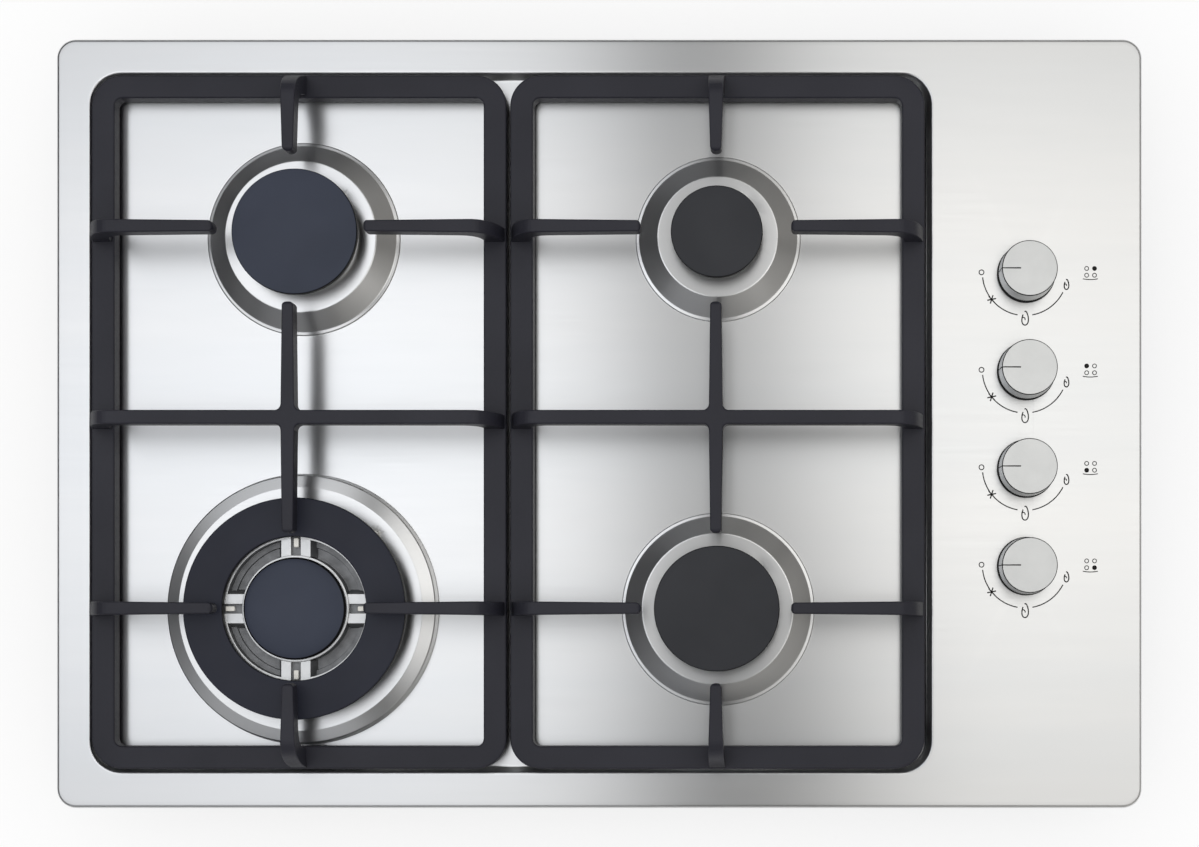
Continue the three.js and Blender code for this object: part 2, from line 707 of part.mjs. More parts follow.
/** The wok burner's head: an outer ring crown and an inner crown joined by four grooved spokes. */
function wokHead(size) {
    const skirt = size.throat - SKIRT_CLEARANCE;
    const bore = skirt * HEAD_BORE_SHARE;
    const inside = size.capHole - CAP_EDGE;
    const well = crownBottom + HEAD_FLANGE + 1;
    const innerWall = size.innerCrown - size.lipWidth;
    const body = revolve([
        [skirt - HEAD_WALL, crownBottom - SKIRT_DEPTH],
        [skirt, crownBottom - SKIRT_DEPTH],
        [skirt, crownBottom],
        [size.crown + CROWN_DRAFT, crownBottom],
        [size.crown + CROWN_DRAFT, crownBottom + HEAD_FLANGE],
        [size.crown - CROWN_DRAFT, crownTop],
        [size.crown - CROWN_WALL, crownTop],
        [size.crown - CROWN_WALL - CROWN_DRAFT, well + HEAD_WALL],
        [inside + CROWN_WALL, well + HEAD_WALL],
        [inside + CROWN_WALL, crownTop],
        [inside, crownTop],
        [inside, well],
        [size.innerCrown, well],
        [size.innerCrown, crownTop + size.lipRise],
        [innerWall, crownTop + size.lipRise],
        [innerWall, crownTop],
        [innerWall - CROWN_WALL, crownTop],
        [innerWall - CROWN_WALL, well],
        [bore, well],
        [bore, crownBottom],
    ], ROUND.cap);
    const reach = inside + CROWN_WALL / 2 - size.innerCrown + 1;
    const middle = size.innerCrown - 1 + reach / 2;
    const grooveBottom = crownTop - size.grooveDepth;
    const spokes = [0, 90, 180, 270].map((angle) => {
        const bar = block(middle, 0, reach, size.spokeWidth, well - 1, crownTop);
        const groove = block(middle, 0, 2 * reach, size.grooveWidth, grooveBottom, crownTop + 1);
        const sparkTip = block(inside - size.sparkTip / 2, 0, size.sparkTip, size.grooveWidth / 2,
            grooveBottom - 1, crownTop - 1);
        return join(cut(bar, groove), sparkTip).rotate([0, 0, angle]);
    });
    return cut(join(body, ...spokes), electrodeNotch(size), ...portCutters(size));
}

/** The wok burner's ring cap. */
function wokRingCap(size) {
    const ring = ringRadius(size.crown);
    return revolve([
        [ring - CAP_RING, capBottom - CAP_RING],
        [ring, capBottom - CAP_RING],
        [ring, capBottom],
        [size.cap, capBottom],
        [size.cap, capTop - CAP_EDGE],
        [size.cap - CAP_EDGE, capTop],
        [size.capHole + CAP_EDGE, capTop],
        [size.capHole, capTop - CAP_EDGE],
        [size.capHole, capBottom],
        [ring - CAP_RING, capBottom],
    ], ROUND.cap);
}

/** The wok burner's inner cap, gently domed, in the lipped inner crown. */
function wokInnerCap(size) {
    const rim = size.innerCap;
    const seat = crownTop + size.lipRise + SEAT_GAP;
    const ring = ringRadius(size.innerCrown - size.lipWidth);
    return revolve([
        [0, seat + DOME.hollow],
        [ring - CAP_RING, seat + DOME.hollow],
        [ring - CAP_RING, crownTop - CAP_RING_DEPTH],
        [ring, crownTop - CAP_RING_DEPTH],
        [ring, seat],
        [rim, seat],
        [rim, seat + DOME.edge],
        [rim - DOME.bevel, seat + DOME.shoulder],
        [rim * 0.6, seat + DOME.brow],
        [0, seat + DOME.top],
    ], ROUND.cap);
}

/** The angle round a burner at which its supply tube enters the cup. */
function tubeSide({ x, y, knobY }) {
    const towards = Math.abs(knobY - y) < 60 ? 0 : Math.sign(knobY - y) * 90;
    return x === RIGHT_BURNER_X ? 0 : towards;
}

/** The mixing cup under the plate: a flange, air windows in its wall and a gas passage in its base. */
function burnerCup(burner) {
    const { throat } = burner.size;
    const inner = throat + CUP_CLEARANCE;
    const outer = inner + CUP_WALL;
    const flangeTop = platformUnder - SEAT_GAP;
    const floor = CUP_BOTTOM_Z + CUP_BASE;
    const body = revolve([
        [0, CUP_BOTTOM_Z],
        [outer, CUP_BOTTOM_Z],
        [outer, flangeTop - CUP_FLANGE_THICKNESS],
        [throat + CUP_FLANGE, flangeTop - CUP_FLANGE_THICKNESS],
        [throat + CUP_FLANGE, flangeTop],
        [inner, flangeTop],
        [inner, floor],
        [0, floor],
    ], ROUND.small);
    const mouth = outer + GAS_PORT_LENGTH;
    const boss = rod([throat / 2, 0, gasPortZ], [mouth, 0, gasPortZ], GAS_PORT_RADIUS);
    const passage = rod([0, 0, gasPortZ], [mouth + 1, 0, gasPortZ], clearOf(TUBE_RADIUS));
    const side = tubeSide(burner);
    const { width, sill, lintel } = CUP_WINDOW;
    const windows = [45, 225].map((angle) => (
        block(outer, 0, 4 * CUP_WALL, width, floor + sill, flangeTop - lintel).rotate([0, 0, angle])
    ));
    const well = post(JET_RADIUS, gasPortZ, floor + 1, ROUND.tiny);
    return cut(join(body, boss.rotate([0, 0, side])), passage.rotate([0, 0, side]), well, ...windows);
}

/** The brass jet in the base of a cup: a stem in its well, a hexagon and a drilled nose. */
function gasJet() {
    const floor = CUP_BOTTOM_Z + CUP_BASE;
    const stem = JET_RADIUS - SEAT_GAP;
    const bodyTop = floor + JET_HEIGHT;
    const stemBottom = gasPortZ + TUBE_RADIUS + 2 * SEAT_GAP;
    const shank = revolve([
        [JET_BORE, stemBottom],
        [stem, stemBottom],
        [stem, bodyTop - JET_NOSE.length],
        [JET_NOSE.radius, bodyTop],
        [JET_BORE, bodyTop],
    ], ROUND.least);
    const hexagon = revolve([
        [JET_HEXAGON.bore, floor + SEAT_GAP],
        [JET_HEXAGON.radius, floor + SEAT_GAP],
        [JET_HEXAGON.radius, floor + JET_HEXAGON.height],
        [JET_HEXAGON.bore, floor + JET_HEXAGON.height],
    ], ROUND.least);
    return join(shank, hexagon);
}

/** The spark electrode: a porcelain stem with a collar under the plate and a steel pin through it. */
function sparkElectrode() {
    const top = crownTop - ELECTRODE_DROP;
    const bottom = top - ELECTRODE_LENGTH;
    const collarTop = platformUnder - SEAT_GAP;
    const collarBottom = collarTop - ELECTRODE_COLLAR.height;
    return revolve([
        [0, bottom],
        [ELECTRODE_PIN.radius, bottom],
        [ELECTRODE_PIN.radius, bottom + ELECTRODE_PIN.below],
        [ELECTRODE_RADIUS, bottom + ELECTRODE_PIN.below],
        [ELECTRODE_RADIUS, collarBottom],
        [ELECTRODE_COLLAR.radius, collarBottom + ELECTRODE_COLLAR.bevel],
        [ELECTRODE_COLLAR.radius, collarTop],
        [ELECTRODE_RADIUS, collarTop],
        [ELECTRODE_RADIUS, top - ELECTRODE_PIN.above],
        [ELECTRODE_PIN.radius, top - ELECTRODE_PIN.above],
        [ELECTRODE_PIN.radius, top],
        [0, top],
    ], ROUND.least);
}

// ---------------------------------------------------------------- knobs, seals and valves

const knobTop = rimTop + KNOB_HEIGHT;
const sealTop = rimTop + SEAT_GAP + SEAL_HEIGHT;
const knobBottom = rimTop + SEAT_GAP + SEAL_FLANGE + KNOB_TRAVEL + SEAT_GAP;
const hubBottom = sealTop + KNOB_TRAVEL + SEAT_GAP;
const spindleTop = knobTop - KNOB_ROOF - 1;
const plugBottom = valveBottom + VALVE_FLOOR + SEAT_GAP;
const spindleBottom = plugBottom + KNOB_TRAVEL + 2;
const skirtInside = KNOB_RADIUS - KNOB_WALL;

/** A knob: a turned cap with a bevelled rim, a hollow skirt and a hub bored for the spindle. */
function knob() {
    const shell = revolve([
        [0, knobTop - KNOB_ROOF],
        [SPINDLE_RADIUS + SEAT_GAP, knobTop - KNOB_ROOF],
        [SPINDLE_RADIUS + SEAT_GAP, hubBottom],
        [KNOB_HUB_RADIUS, hubBottom],
        [KNOB_HUB_RADIUS, knobTop - KNOB_ROOF],
        [skirtInside, knobTop - KNOB_ROOF],
        [skirtInside, knobBottom],
        [KNOB_RADIUS, knobBottom],
        [KNOB_TOP_RADIUS, knobTop - KNOB_BEVEL * 0.6],
        [KNOB_TOP_RADIUS - KNOB_BEVEL, knobTop],
        [0, knobTop],
    ], ROUND.knob);
    const key = SPINDLE_FLAT + SEAT_GAP;
    const flat = block(0, (key + SPINDLE_RADIUS + 1) / 2, 2 * SPINDLE_RADIUS, SPINDLE_RADIUS + 1 - key,
        hubBottom, knobTop - KNOB_ROOF + 0.5);
    return shell.add(flat);
}

/** The black seal between a knob and the plate: a thin flange with a raised collar round the spindle. */
function knobSeal() {
    const bottom = rimTop + SEAT_GAP;
    const collar = skirtInside - 2 * SEAT_GAP;
    return revolve([
        [SPINDLE_RADIUS + 2 * SEAT_GAP, bottom],
        [SEAL_RADIUS, bottom],
        [SEAL_RADIUS - SEAL_FLANGE * 0.5, bottom + SEAL_FLANGE],
        [collar, bottom + SEAL_FLANGE],
        [collar, sealTop],
        [SPINDLE_RADIUS + 2 * SEAT_GAP, sealTop],
    ], ROUND.seal);
}

/** The spindle, a round bar with one flat, which turns the plug and slides down in it. */
function valveSpindle() {
    const round = post(SPINDLE_RADIUS, spindleBottom, spindleTop, ROUND.tiny);
    const away = block(0, SPINDLE_FLAT + SPINDLE_RADIUS, 4 * SPINDLE_RADIUS, 2 * SPINDLE_RADIUS,
        spindleBottom - 1, spindleTop + 1);
    return round.subtract(away);
}

const valveOutletZ = valveBottom + VALVE_HEIGHT / 2;

/** The plug that opens the gas way: a barrel with a keyed bore for the spindle and a port across it. */
function valvePlug() {
    const top = plugBottom + PLUG_HEIGHT;
    const barrel = post(PLUG_RADIUS, plugBottom, top, ROUND.small);
    const key = SPINDLE_FLAT + SEAT_GAP;
    const bore = cut(
        post(SPINDLE_RADIUS + SEAT_GAP, plugBottom + 2 - SEAT_GAP, top + 1, ROUND.tiny),
        block(0, key + SPINDLE_RADIUS, 4 * SPINDLE_RADIUS, 2 * SPINDLE_RADIUS, plugBottom, top + 2),
    );
    const port = rod([-PLUG_RADIUS - 1, 0, valveOutletZ], [0, 0, valveOutletZ], PLUG_PORT_RADIUS);
    return cut(barrel, bore, port);
}

/** The valve body: a bored barrel, a flange, a saddle on the manifold and a side outlet. */
function valveBody() {
    const barrel = post(VALVE_RADIUS, valveBottom, valveTop, ROUND.tiny);
    const flange = raise(
        roundedOutline(VALVE_FLANGE_WIDTH, VALVE_FLANGE_LENGTH, VALVE_FLANGE_CORNER, 1),
        valveTop - VALVE_FLANGE_THICKNESS,
        valveTop,
    );
    const saddleWidth = 2 * (MANIFOLD_RADIUS + SADDLE_WALL);
    const saddle = block(0, 0, saddleWidth, SADDLE_LENGTH, MANIFOLD_Z + 1, valveBottom + 1);
    const pipe = rod([0, -SADDLE_LENGTH, MANIFOLD_Z], [0, SADDLE_LENGTH, MANIFOLD_Z],
        clearOf(MANIFOLD_RADIUS, ROUND.small), ROUND.small);
    const mouth = -VALVE_RADIUS - GAS_PORT_LENGTH;
    const outlet = rod([0, 0, valveOutletZ], [mouth, 0, valveOutletZ], GAS_PORT_RADIUS);
    const outletBore = rod([0, 0, valveOutletZ], [mouth - 1, 0, valveOutletZ], clearOf(TUBE_RADIUS));
    const bore = post(clearOf(PLUG_RADIUS, ROUND.small), plugBottom - SEAT_GAP, valveTop + 1, ROUND.small);
    const feed = post(FEED_RADIUS, MANIFOLD_Z, valveBottom + VALVE_FLOOR + 1, ROUND.least);
    return cut(join(barrel, flange, saddle, outlet), pipe, bore, outletBore, feed);
}

// ---------------------------------------------------------------- gas pipework

const manifoldRear = BOX_DEPTH / 2 - MANIFOLD_REAR_GAP;
const manifoldFront = burners[3].knobY - MANIFOLD_OVERHANG;

/** The manifold: a pipe under the four valves, closed in front and open behind, on two feet. */
function gasManifold() {
    const pipe = (from, to, radius, facets) => (
        rod([0, from, MANIFOLD_Z], [0, to, MANIFOLD_Z], radius, facets)
    );
    const boreRadius = MANIFOLD_RADIUS - MANIFOLD_WALL;
    const outer = pipe(manifoldFront, manifoldRear, MANIFOLD_RADIUS, ROUND.small);
    const inner = pipe(manifoldFront + MANIFOLD_END, manifoldRear + 1, boreRadius, ROUND.tiny);
    const taps = burners.map(({ knobY }) => (
        post(FEED_RADIUS, MANIFOLD_Z, MANIFOLD_Z + MANIFOLD_RADIUS + 1, ROUND.least).translate([0, knobY, 0])
    ));
    const feet = [burners[1].knobY, burners[3].knobY].map((y) => {
        const { web, length, width, thickness } = MANIFOLD_FOOT;
        const footY = y + KNOB_PITCH / 2;
        return join(
            block(0, footY, web, length, boxInside, MANIFOLD_Z - MANIFOLD_RADIUS + 1),
            block(0, footY, width, length, boxInside, boxInside + thickness),
        );
    });
    return cut(join(outer, ...feet), inner, ...taps);
}

/** The gas inlet: a bored pipe bent along the back wall, with a nut inside the wall and a collar. */
function gasInletElbow() {
    const start = manifoldRear + SEAT_GAP;
    const outside = BOX_DEPTH / 2 + INLET_BEND + 2;
    const elbow = (spare) => bentRoute([
        [0, start - spare, MANIFOLD_Z],
        [0, outside, MANIFOLD_Z],
        [-INLET_REACH - spare, outside, MANIFOLD_Z],
    ], INLET_BEND);
    const body = bar(elbow(0), INLET_RADIUS, ROUND.small);
    const bore = bar(elbow(1), INLET_BORE, ROUND.tiny);
    const nutFace = BOX_DEPTH / 2 - SHEET - SEAT_GAP;
    const nut = rod([0, nutFace - INLET_NUT_HEIGHT, MANIFOLD_Z], [0, nutFace, MANIFOLD_Z],
        INLET_NUT_RADIUS, ROUND.least);
    const collar = rod([INLET_COLLAR_LENGTH - INLET_REACH, outside, MANIFOLD_Z],
        [-INLET_REACH, outside, MANIFOLD_Z], INLET_COLLAR_RADIUS, ROUND.small);
    return cut(join(body, nut, collar), bore);
}

/** The corner points of a burner's supply tube, from its valve outlet to its cup. */
function supplyRoute(burner) {
    const { x, y, knobY, size } = burner;
    const cupReach = size.throat + CUP_CLEARANCE + CUP_WALL + GAS_PORT_LENGTH - TUBE_SEAT;
    const sideways = tubeSide(burner) === 0;
    const [dx, dy] = sideways ? [1, 0] : [0, Math.sign(tubeSide(burner))];
    const entry = [x + dx * cupReach, y + dy * cupReach, gasPortZ];
    const before = [entry[0] + dx * TUBE_STRAIGHT, entry[1] + dy * TUBE_STRAIGHT, gasPortZ];
    const outlet = KNOB_X - VALVE_RADIUS - GAS_PORT_LENGTH + TUBE_SEAT;
    const leave = outlet - TUBE_STRAIGHT;
    const across = sideways ? [[before[0] + TUBE_DROP_RUN, knobY, gasPortZ], before] : [[x, knobY, gasPortZ]];
    return [
        [outlet, knobY, valveOutletZ],
        [leave, knobY, valveOutletZ],
        [leave - TUBE_DROP_RUN, knobY, gasPortZ],
        ...across,
        entry,
    ];
}

/** A thin aluminium tube along its route, with the mouth of its bore at both ends. */
function supplyTube(burner) {
    const route = bentRoute(supplyRoute(burner), TUBE_BEND);
    const mouths = [0, 1].map((end) => {
        const at = route.getPointAt(end);
        const depth = end === 0 ? TUBE_BORE_DEPTH : -TUBE_BORE_DEPTH;
        const inward = route.getTangentAt(end).multiplyScalar(depth);
        const inside = at.clone().add(inward);
        const outside = at.clone().sub(inward);
        return rod(outside.toArray(), inside.toArray(), TUBE_RADIUS - TUBE_WALL, ROUND.least);
    });
    return cut(bar(route, TUBE_RADIUS, ROUND.least), ...mouths);
}

// ---------------------------------------------------------------- the box under the plate

const glandZ = boxInside + TERMINAL_BLOCK.height + 4;

/** The tray under the plate: a folded edge, an inward flange, air slots and holes for gas and mains. */
function burnerBox() {
    const top = floorUnder - SEAT_GAP;
    const innerFold = BOX_FOLD + SHEET * Math.tan(Math.PI / 8);
    const shell = loftRectangle(BOX_LENGTH, BOX_DEPTH, BOX_CORNER_RADIUS,
        [[BOX_FOLD, 0], [0, BOX_FOLD], [0, top]]);
    const inside = loftRectangle(BOX_LENGTH, BOX_DEPTH, BOX_CORNER_RADIUS,
        [[innerFold, SHEET], [SHEET, innerFold], [SHEET, top - SHEET]]);
    const mouth = loftRectangle(BOX_LENGTH, BOX_DEPTH, BOX_CORNER_RADIUS,
        [[BOX_FLANGE, top - 2 * SHEET], [BOX_FLANGE, top + 1]]);
    const slots = burners.flatMap(({ x, y }) => [-1, 1].map((row) => (
        block(x, y + (row * AIR_SLOT.pitch) / 2, AIR_SLOT.length, AIR_SLOT.width, -1, SHEET + 1)
    )));
    const rear = BOX_DEPTH / 2;
    const wallHole = (x, z, radius) => rod([x, rear - 2 * SHEET, z], [x, rear + 1, z],
        clearOf(radius, ROUND.small), ROUND.small);
    const inlet = wallHole(KNOB_X, MANIFOLD_Z, INLET_RADIUS);
    const gland = wallHole(TERMINAL_BLOCK.x, glandZ, GLAND_WAIST);
    return cut(shell, inside, mouth, inlet, gland, ...slots);
}

/** The bush in the back wall that a mains lead passes through, its two flanges astride the sheet. */
function cableGland() {
    const inner = -SHEET - SEAT_GAP;
    const head = SEAT_GAP + GLAND_HEAD;
    const profile = [
        [GLAND_BORE, head - GLAND_LENGTH],
        [GLAND_WAIST + 1, head - GLAND_LENGTH],
        [GLAND_RADIUS, inner - GLAND_LIP],
        [GLAND_RADIUS, inner],
        [GLAND_WAIST, inner],
        [GLAND_WAIST, SEAT_GAP],
        [GLAND_RADIUS, SEAT_GAP],
        [GLAND_RADIUS - 1, head],
        [GLAND_BORE, head],
    ];
    return revolve(profile, ROUND.small).rotate([-90, 0, 0]).translate([0, BOX_DEPTH / 2, glandZ]);
}

/** The mains terminal block: a stepped moulding with three wire entries and a screw well over each. */
function terminalBlock() {
    const { length, width, height, wallGap, wireHole, screwWell } = TERMINAL_BLOCK;
    const top = boxInside + height;
    const step = block(0, -width / 4, length + 2, width / 2 + 2, top - height / 3, top + 1);
    const pitch = length / 3;
    const wayZ = boxInside + height / 2;
    const ways = [-1, 0, 1].flatMap((way) => [
        rod([way * pitch, width / 2 + 1, wayZ], [way * pitch, -width / 2 - 1, wayZ], wireHole, ROUND.least),
        post(screwWell, wayZ, top + 1, ROUND.least).translate([way * pitch, width / 4, 0]),
    ]);
    const body = raise(roundedOutline(length, width, 2, 1), boxInside, top);
    return cut(body, step, ...ways).translate([0, BOX_DEPTH / 2 - width - wallGap, 0]);
}

/** The spark module: a moulded case with two ears and one output post for each burner. */
function sparkModule() {
    const { length, width, height, ear, post: postRadius, postHeight } = SPARK_MODULE;
    const top = boxInside + height;
    const body = raise(roundedOutline(length, width, 4, 1), boxInside, top, 1);
    const plinth = raise(roundedOutline(length + 2 * ear, width * 0.45, 6, 1), boxInside, boxInside + 3);
    const earHoles = [1, -1].map((side) => (
        post(2, boxInside - 1, boxInside + 4, ROUND.least).translate([side * (length + ear) / 2, 0, 0])
    ));
    const posts = burners.map((_, i) => {
        const x = length * ((i + 0.5) / burners.length - 0.5);
        return post(postRadius, top - 1, top + postHeight, ROUND.least).translate([x, -width / 5, 0]);
    });
    return cut(join(body, plinth, ...posts), ...earHoles);
}

/** The foam strip between the rim of the plate and the worktop. */
function worktopGasket() {
    const [length, depth] = [PLATE_LENGTH - 2 * GASKET_INSET, PLATE_DEPTH - 2 * GASKET_INSET];
    const radius = PLATE_CORNER_RADIUS - GASKET_INSET;
    const inner = Math.max(radius - GASKET_WIDTH, 1);
    const hole = roundedOutline(length - 2 * GASKET_WIDTH, depth - 2 * GASKET_WIDTH, inner, 2);
    return raise(roundedOutline(length, depth, radius, 2), WORKTOP_Z, rimUnder - SEAT_GAP, 0, hole.reverse());
}

/** A clamp on the outside of the box: a leg up the wall and an arm that hooks under the worktop. */
function mountingClamp() {
    const under = WORKTOP_Z - WORKTOP_THICKNESS - SEAT_GAP;
    const top = WORKTOP_Z - CLAMP_TOP_GAP;
    const wall = SEAT_GAP;
    const t = CLAMP_THICKNESS;
    const arm = under - CLAMP_TOE;
    const outline = [
        [wall, arm - t],
        [wall + CLAMP_REACH, arm - t],
        [wall + CLAMP_REACH, under],
        [wall + CLAMP_REACH - t, under],
        [wall + CLAMP_REACH - t, arm],
        [wall + t, arm],
        [wall + t, top],
        [wall, top],
    ];
    const strip = raise(outline, -CLAMP_WIDTH / 2, CLAMP_WIDTH / 2).rotate([90, 0, 90]);
    const [slotBottom, slotTop] = [arm + CLAMP_SLOT_MARGIN, top - CLAMP_SLOT_MARGIN];
    const slot = block(0, wall + t / 2, CLAMP_SLOT_WIDTH, 3 * t, slotBottom, slotTop);
    return strip.subtract(slot);
}

// ---------------------------------------------------------------- the assembly

const cooktop = new THREE.Group();

/** Adds a named piece to a group, at a place in plan. */
function add(group, name, body, material, x = 0, y = 0) {
    const mesh = piece(name, body, material);
    mesh.position.set(x, y, 0);
    group.add(mesh);
    return mesh;
}

add(cooktop, 'hob_plate', hobPlate(), brushedSteel());
add(cooktop, 'burner_box', burnerBox(), galvanised());
add(cooktop, 'worktop_gasket', worktopGasket(), blackRubber());
add(cooktop, 'left_pan_support', panSupport(), castEnamel(), LEFT_BURNER_X);
add(cooktop, 'right_pan_support', panSupport(), castEnamel(), RIGHT_BURNER_X);

for (const burner of burners) {
    const { name, x, y, size } = burner;
    const group = new THREE.Group();
    group.position.set(x, y, 0);
    cooktop.add(group);
    const isWok = size === WOK;
    add(group, `${name}_burner_cup`, burnerCup(burner), aluminium());
    add(group, `${name}_jet`, gasJet(), brass());
    add(group, `${name}_burner_head`, isWok ? wokHead(size) : burnerHead(size), aluminium());
    if (isWok) {
        add(group, `${name}_ring_cap`, wokRingCap(size), capEnamel());
        add(group, `${name}_inner_cap`, wokInnerCap(size), capEnamel());
    } else {
        add(group, `${name}_burner_cap`, burnerCap(size), capEnamel());
    }
    add(group, `${name}_electrode`, sparkElectrode(), porcelain(), ...electrodePlace(size));
    add(cooktop, `${name}_supply_tube`, supplyTube(burner), aluminium());
}

for (const { name, knobY } of burners) {
    const group = new THREE.Group();
    group.position.set(KNOB_X, knobY, 0);
    cooktop.add(group);
    add(group, `${name}_knob`, knob(), knobMetal());
    add(group, `${name}_knob_seal`, knobSeal(), blackRubber());
    add(group, `${name}_valve_spindle`, valveSpindle(), galvanised());
    add(group, `${name}_valve_plug`, valvePlug(), brass());
    add(group, `${name}_valve_body`, valveBody(), aluminium());
}

add(cooktop, 'gas_manifold', gasManifold(), galvanised(), KNOB_X);
add(cooktop, 'gas_inlet_elbow', gasInletElbow(), brass(), KNOB_X);
add(cooktop, 'terminal_block', terminalBlock(), plastic(), TERMINAL_BLOCK.x);
add(cooktop, 'cable_gland', cableGland(), plastic(), TERMINAL_BLOCK.x);
add(cooktop, 'spark_module', sparkModule(), plastic(), SPARK_MODULE.x, SPARK_MODULE.y);

for (const [index, [side, out]] of [[-1, -1], [1, -1], [1, 1], [-1, 1]].entries()) {
    const clamp = add(cooktop, `worktop_clamp_${index + 1}`, mountingClamp(), galvanised());
    clamp.position.set(side * CLAMP_X, (out * BOX_DEPTH) / 2, 0);
    clamp.rotation.z = out > 0 ? 0 : Math.PI;
}

export default cooktop;
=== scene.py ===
"""A built-in gas cooktop: pressed steel plate, two cast pan supports, four burners, four knobs.

Sizes are millimetres in the row frame, and a mesh is turned to metres when it is made.
"""

import json
import math

import bmesh
import bpy
import numpy as np
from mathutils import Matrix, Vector
from mathutils.geometry import delaunay_2d_cdt


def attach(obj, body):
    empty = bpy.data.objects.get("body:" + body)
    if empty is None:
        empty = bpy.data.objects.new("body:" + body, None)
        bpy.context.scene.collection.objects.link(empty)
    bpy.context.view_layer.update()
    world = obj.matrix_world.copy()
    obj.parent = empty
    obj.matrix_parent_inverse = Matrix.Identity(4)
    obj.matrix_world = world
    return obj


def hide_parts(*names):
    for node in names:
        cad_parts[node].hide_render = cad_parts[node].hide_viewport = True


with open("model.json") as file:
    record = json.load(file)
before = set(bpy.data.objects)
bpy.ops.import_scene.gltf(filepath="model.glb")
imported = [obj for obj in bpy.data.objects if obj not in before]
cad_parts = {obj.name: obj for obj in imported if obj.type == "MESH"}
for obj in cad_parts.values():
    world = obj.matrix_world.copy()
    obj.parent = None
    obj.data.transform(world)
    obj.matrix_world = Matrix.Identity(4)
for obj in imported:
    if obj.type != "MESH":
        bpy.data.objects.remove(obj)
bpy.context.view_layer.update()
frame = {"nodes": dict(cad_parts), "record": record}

MM = 0.001

# ------------------------------------------------------------------ sizes, from the frame

RIM_TOP = 57.0
SHEET = 0.8
FLOOR_TOP = 51.4
PLATFORM_TOP = 61.4
LIP_FOOT = 50.3
PLATE = {"length": 720.0, "depth": 510.0, "corner": 13.0, "edge": 2.4}
RECESS = {"length": 557.6, "depth": 463.7, "corner": 20.5, "run": 3.3, "middle": (-58.6, 0.5)}
GUARD = 2.2
PLAIN_FOOT = (0.1, 0.7, 2.0, 1.1)

CROWN_BOTTOM = 61.7
CROWN_TOP = 73.7
CAP_BOTTOM = 74.0
CAP_TOP = 79.0
CROWN_WALL = 5.0
SKIRT_DEPTH = 11.0
HOLE_GAP = 1.3
RING_GAP = 1.2
INNER_STEP = 3.4

FRAME_BOTTOM = 54.4
FRAME_TOP = 66.0
FRAME_WIDTH = 15.0
SUPPORT_TOP = 96.4
SUPPORT = {"length": 273.0, "depth": 456.7, "corner": 20.0}
TIP_WIDTH = 7.2
BLADE_WIDTH = 9.0
BLADE_UNDER = 84.4
CENTRE_ROOT_WIDTH = 10.5
TIP_RADIUS = 48.5
TIP_CLOSING = 2.6
TIP_FALL = 2.4
TIP_RISE = 4.2
ARCH_START = 13.4
BURNER_Y = 123.0
LEFT_X = -196.8
RIGHT_X = 78.7

# Burners: radii of the cone, platform, cap, crown and throat, the electrode's distance out and the count of ports.
# A fold has the radius "fold" and a flat run "guard" beside it. "foot" gives the bead at the cone's foot: the first
# corner's distance in and up from the cone's edge, then the second's.
SEMI_RAPID = {
    "cone": 63.75, "platform": 50.0, "cap": 41.0, "crown": 37.0, "throat": 22.5, "electrode": 38.4, "ports": 30,
    "guard": GUARD, "foot": PLAIN_FOOT, "fold": 1.8,
}
AUXILIARY = {
    "cone": 54.5, "platform": 39.75, "cap": 30.0, "crown": 26.0, "throat": 14.5, "electrode": 27.4, "ports": 22,
    "guard": GUARD, "foot": PLAIN_FOOT, "fold": 1.8,
}
WOK = {
    "cone": 89.5, "platform": 80.4, "cap": 72.5, "crown": 69.0, "throat": 28.0, "electrode": 70.0, "ports": 52,
    "guard": 3.0, "foot": (0.7, 7.2, 1.2, 7.8), "fold": 1.4,
    "cap_hole": 47.0, "inner_cap": 33.5, "inner_crown": 35.0, "spoke": 19.0, "groove": 6.5,
}
BURNERS = {
    "rear_right": (RIGHT_X, BURNER_Y, AUXILIARY),
    "rear_left": (LEFT_X, BURNER_Y, SEMI_RAPID),
    "front_left": (LEFT_X, -BURNER_Y, WOK),
    "front_right": (RIGHT_X, -BURNER_Y, SEMI_RAPID),
}
ELECTRODE_ANGLE = math.radians(45)
ELECTRODE_RADIUS = 2.0
PORT_DEPTH = 4.3
WELL_RISE = 5.6
BORE_SHARE = 0.42
CAP_HOLLOW = 1.8
SPOKE_FLARE = 3.6
GROOVE_DEPTH = 3.2
QUARTERS = (0, 90, 180, 270)

KNOB_X = 283.0
KNOB_BACK_Y = 99.25
KNOB_SPACING = 64.6
KNOB_Y = {name: KNOB_BACK_Y - KNOB_SPACING * row for row, name in enumerate(BURNERS)}
KNOB = {"radius": 18.8, "top_radius": 18.2, "bottom": 61.5, "top": 77.6, "roof": 74.0, "hub": 6.5, "hub_bottom": 65.6}
SPINDLE_HOLE = 5.0
FLUTES = 96
FLUTE_DEPTH = 0.11
DIAL_RADIUS = 28.2
INK_TOP = RIM_TOP + 0.05

# The studio, in metres.
FLOOR_HALF = 6.0
FLOOR_Z = -0.0003
WALL_RADIUS = 1.35
WALL_TOP = 1.25
CEILING_Z = 1.52

# ------------------------------------------------------------------ shapes as arrays


def cells(rows, columns, close_rows=False, close_columns=True):
    """Quads of a grid of points. Each joins a point, the next in its row, and the two of the next row."""
    r = np.arange(rows if close_rows else rows - 1)[:, None]
    c = np.arange(columns if close_columns else columns - 1)[None, :]
    r2, c2 = (r + 1) % rows, (c + 1) % columns
    corners = [r * columns + c, r * columns + c2, r2 * columns + c2, r2 * columns + c]
    return np.stack([np.broadcast_to(k, (len(r), c.shape[1])) for k in corners], -1).reshape(-1, 4).tolist()


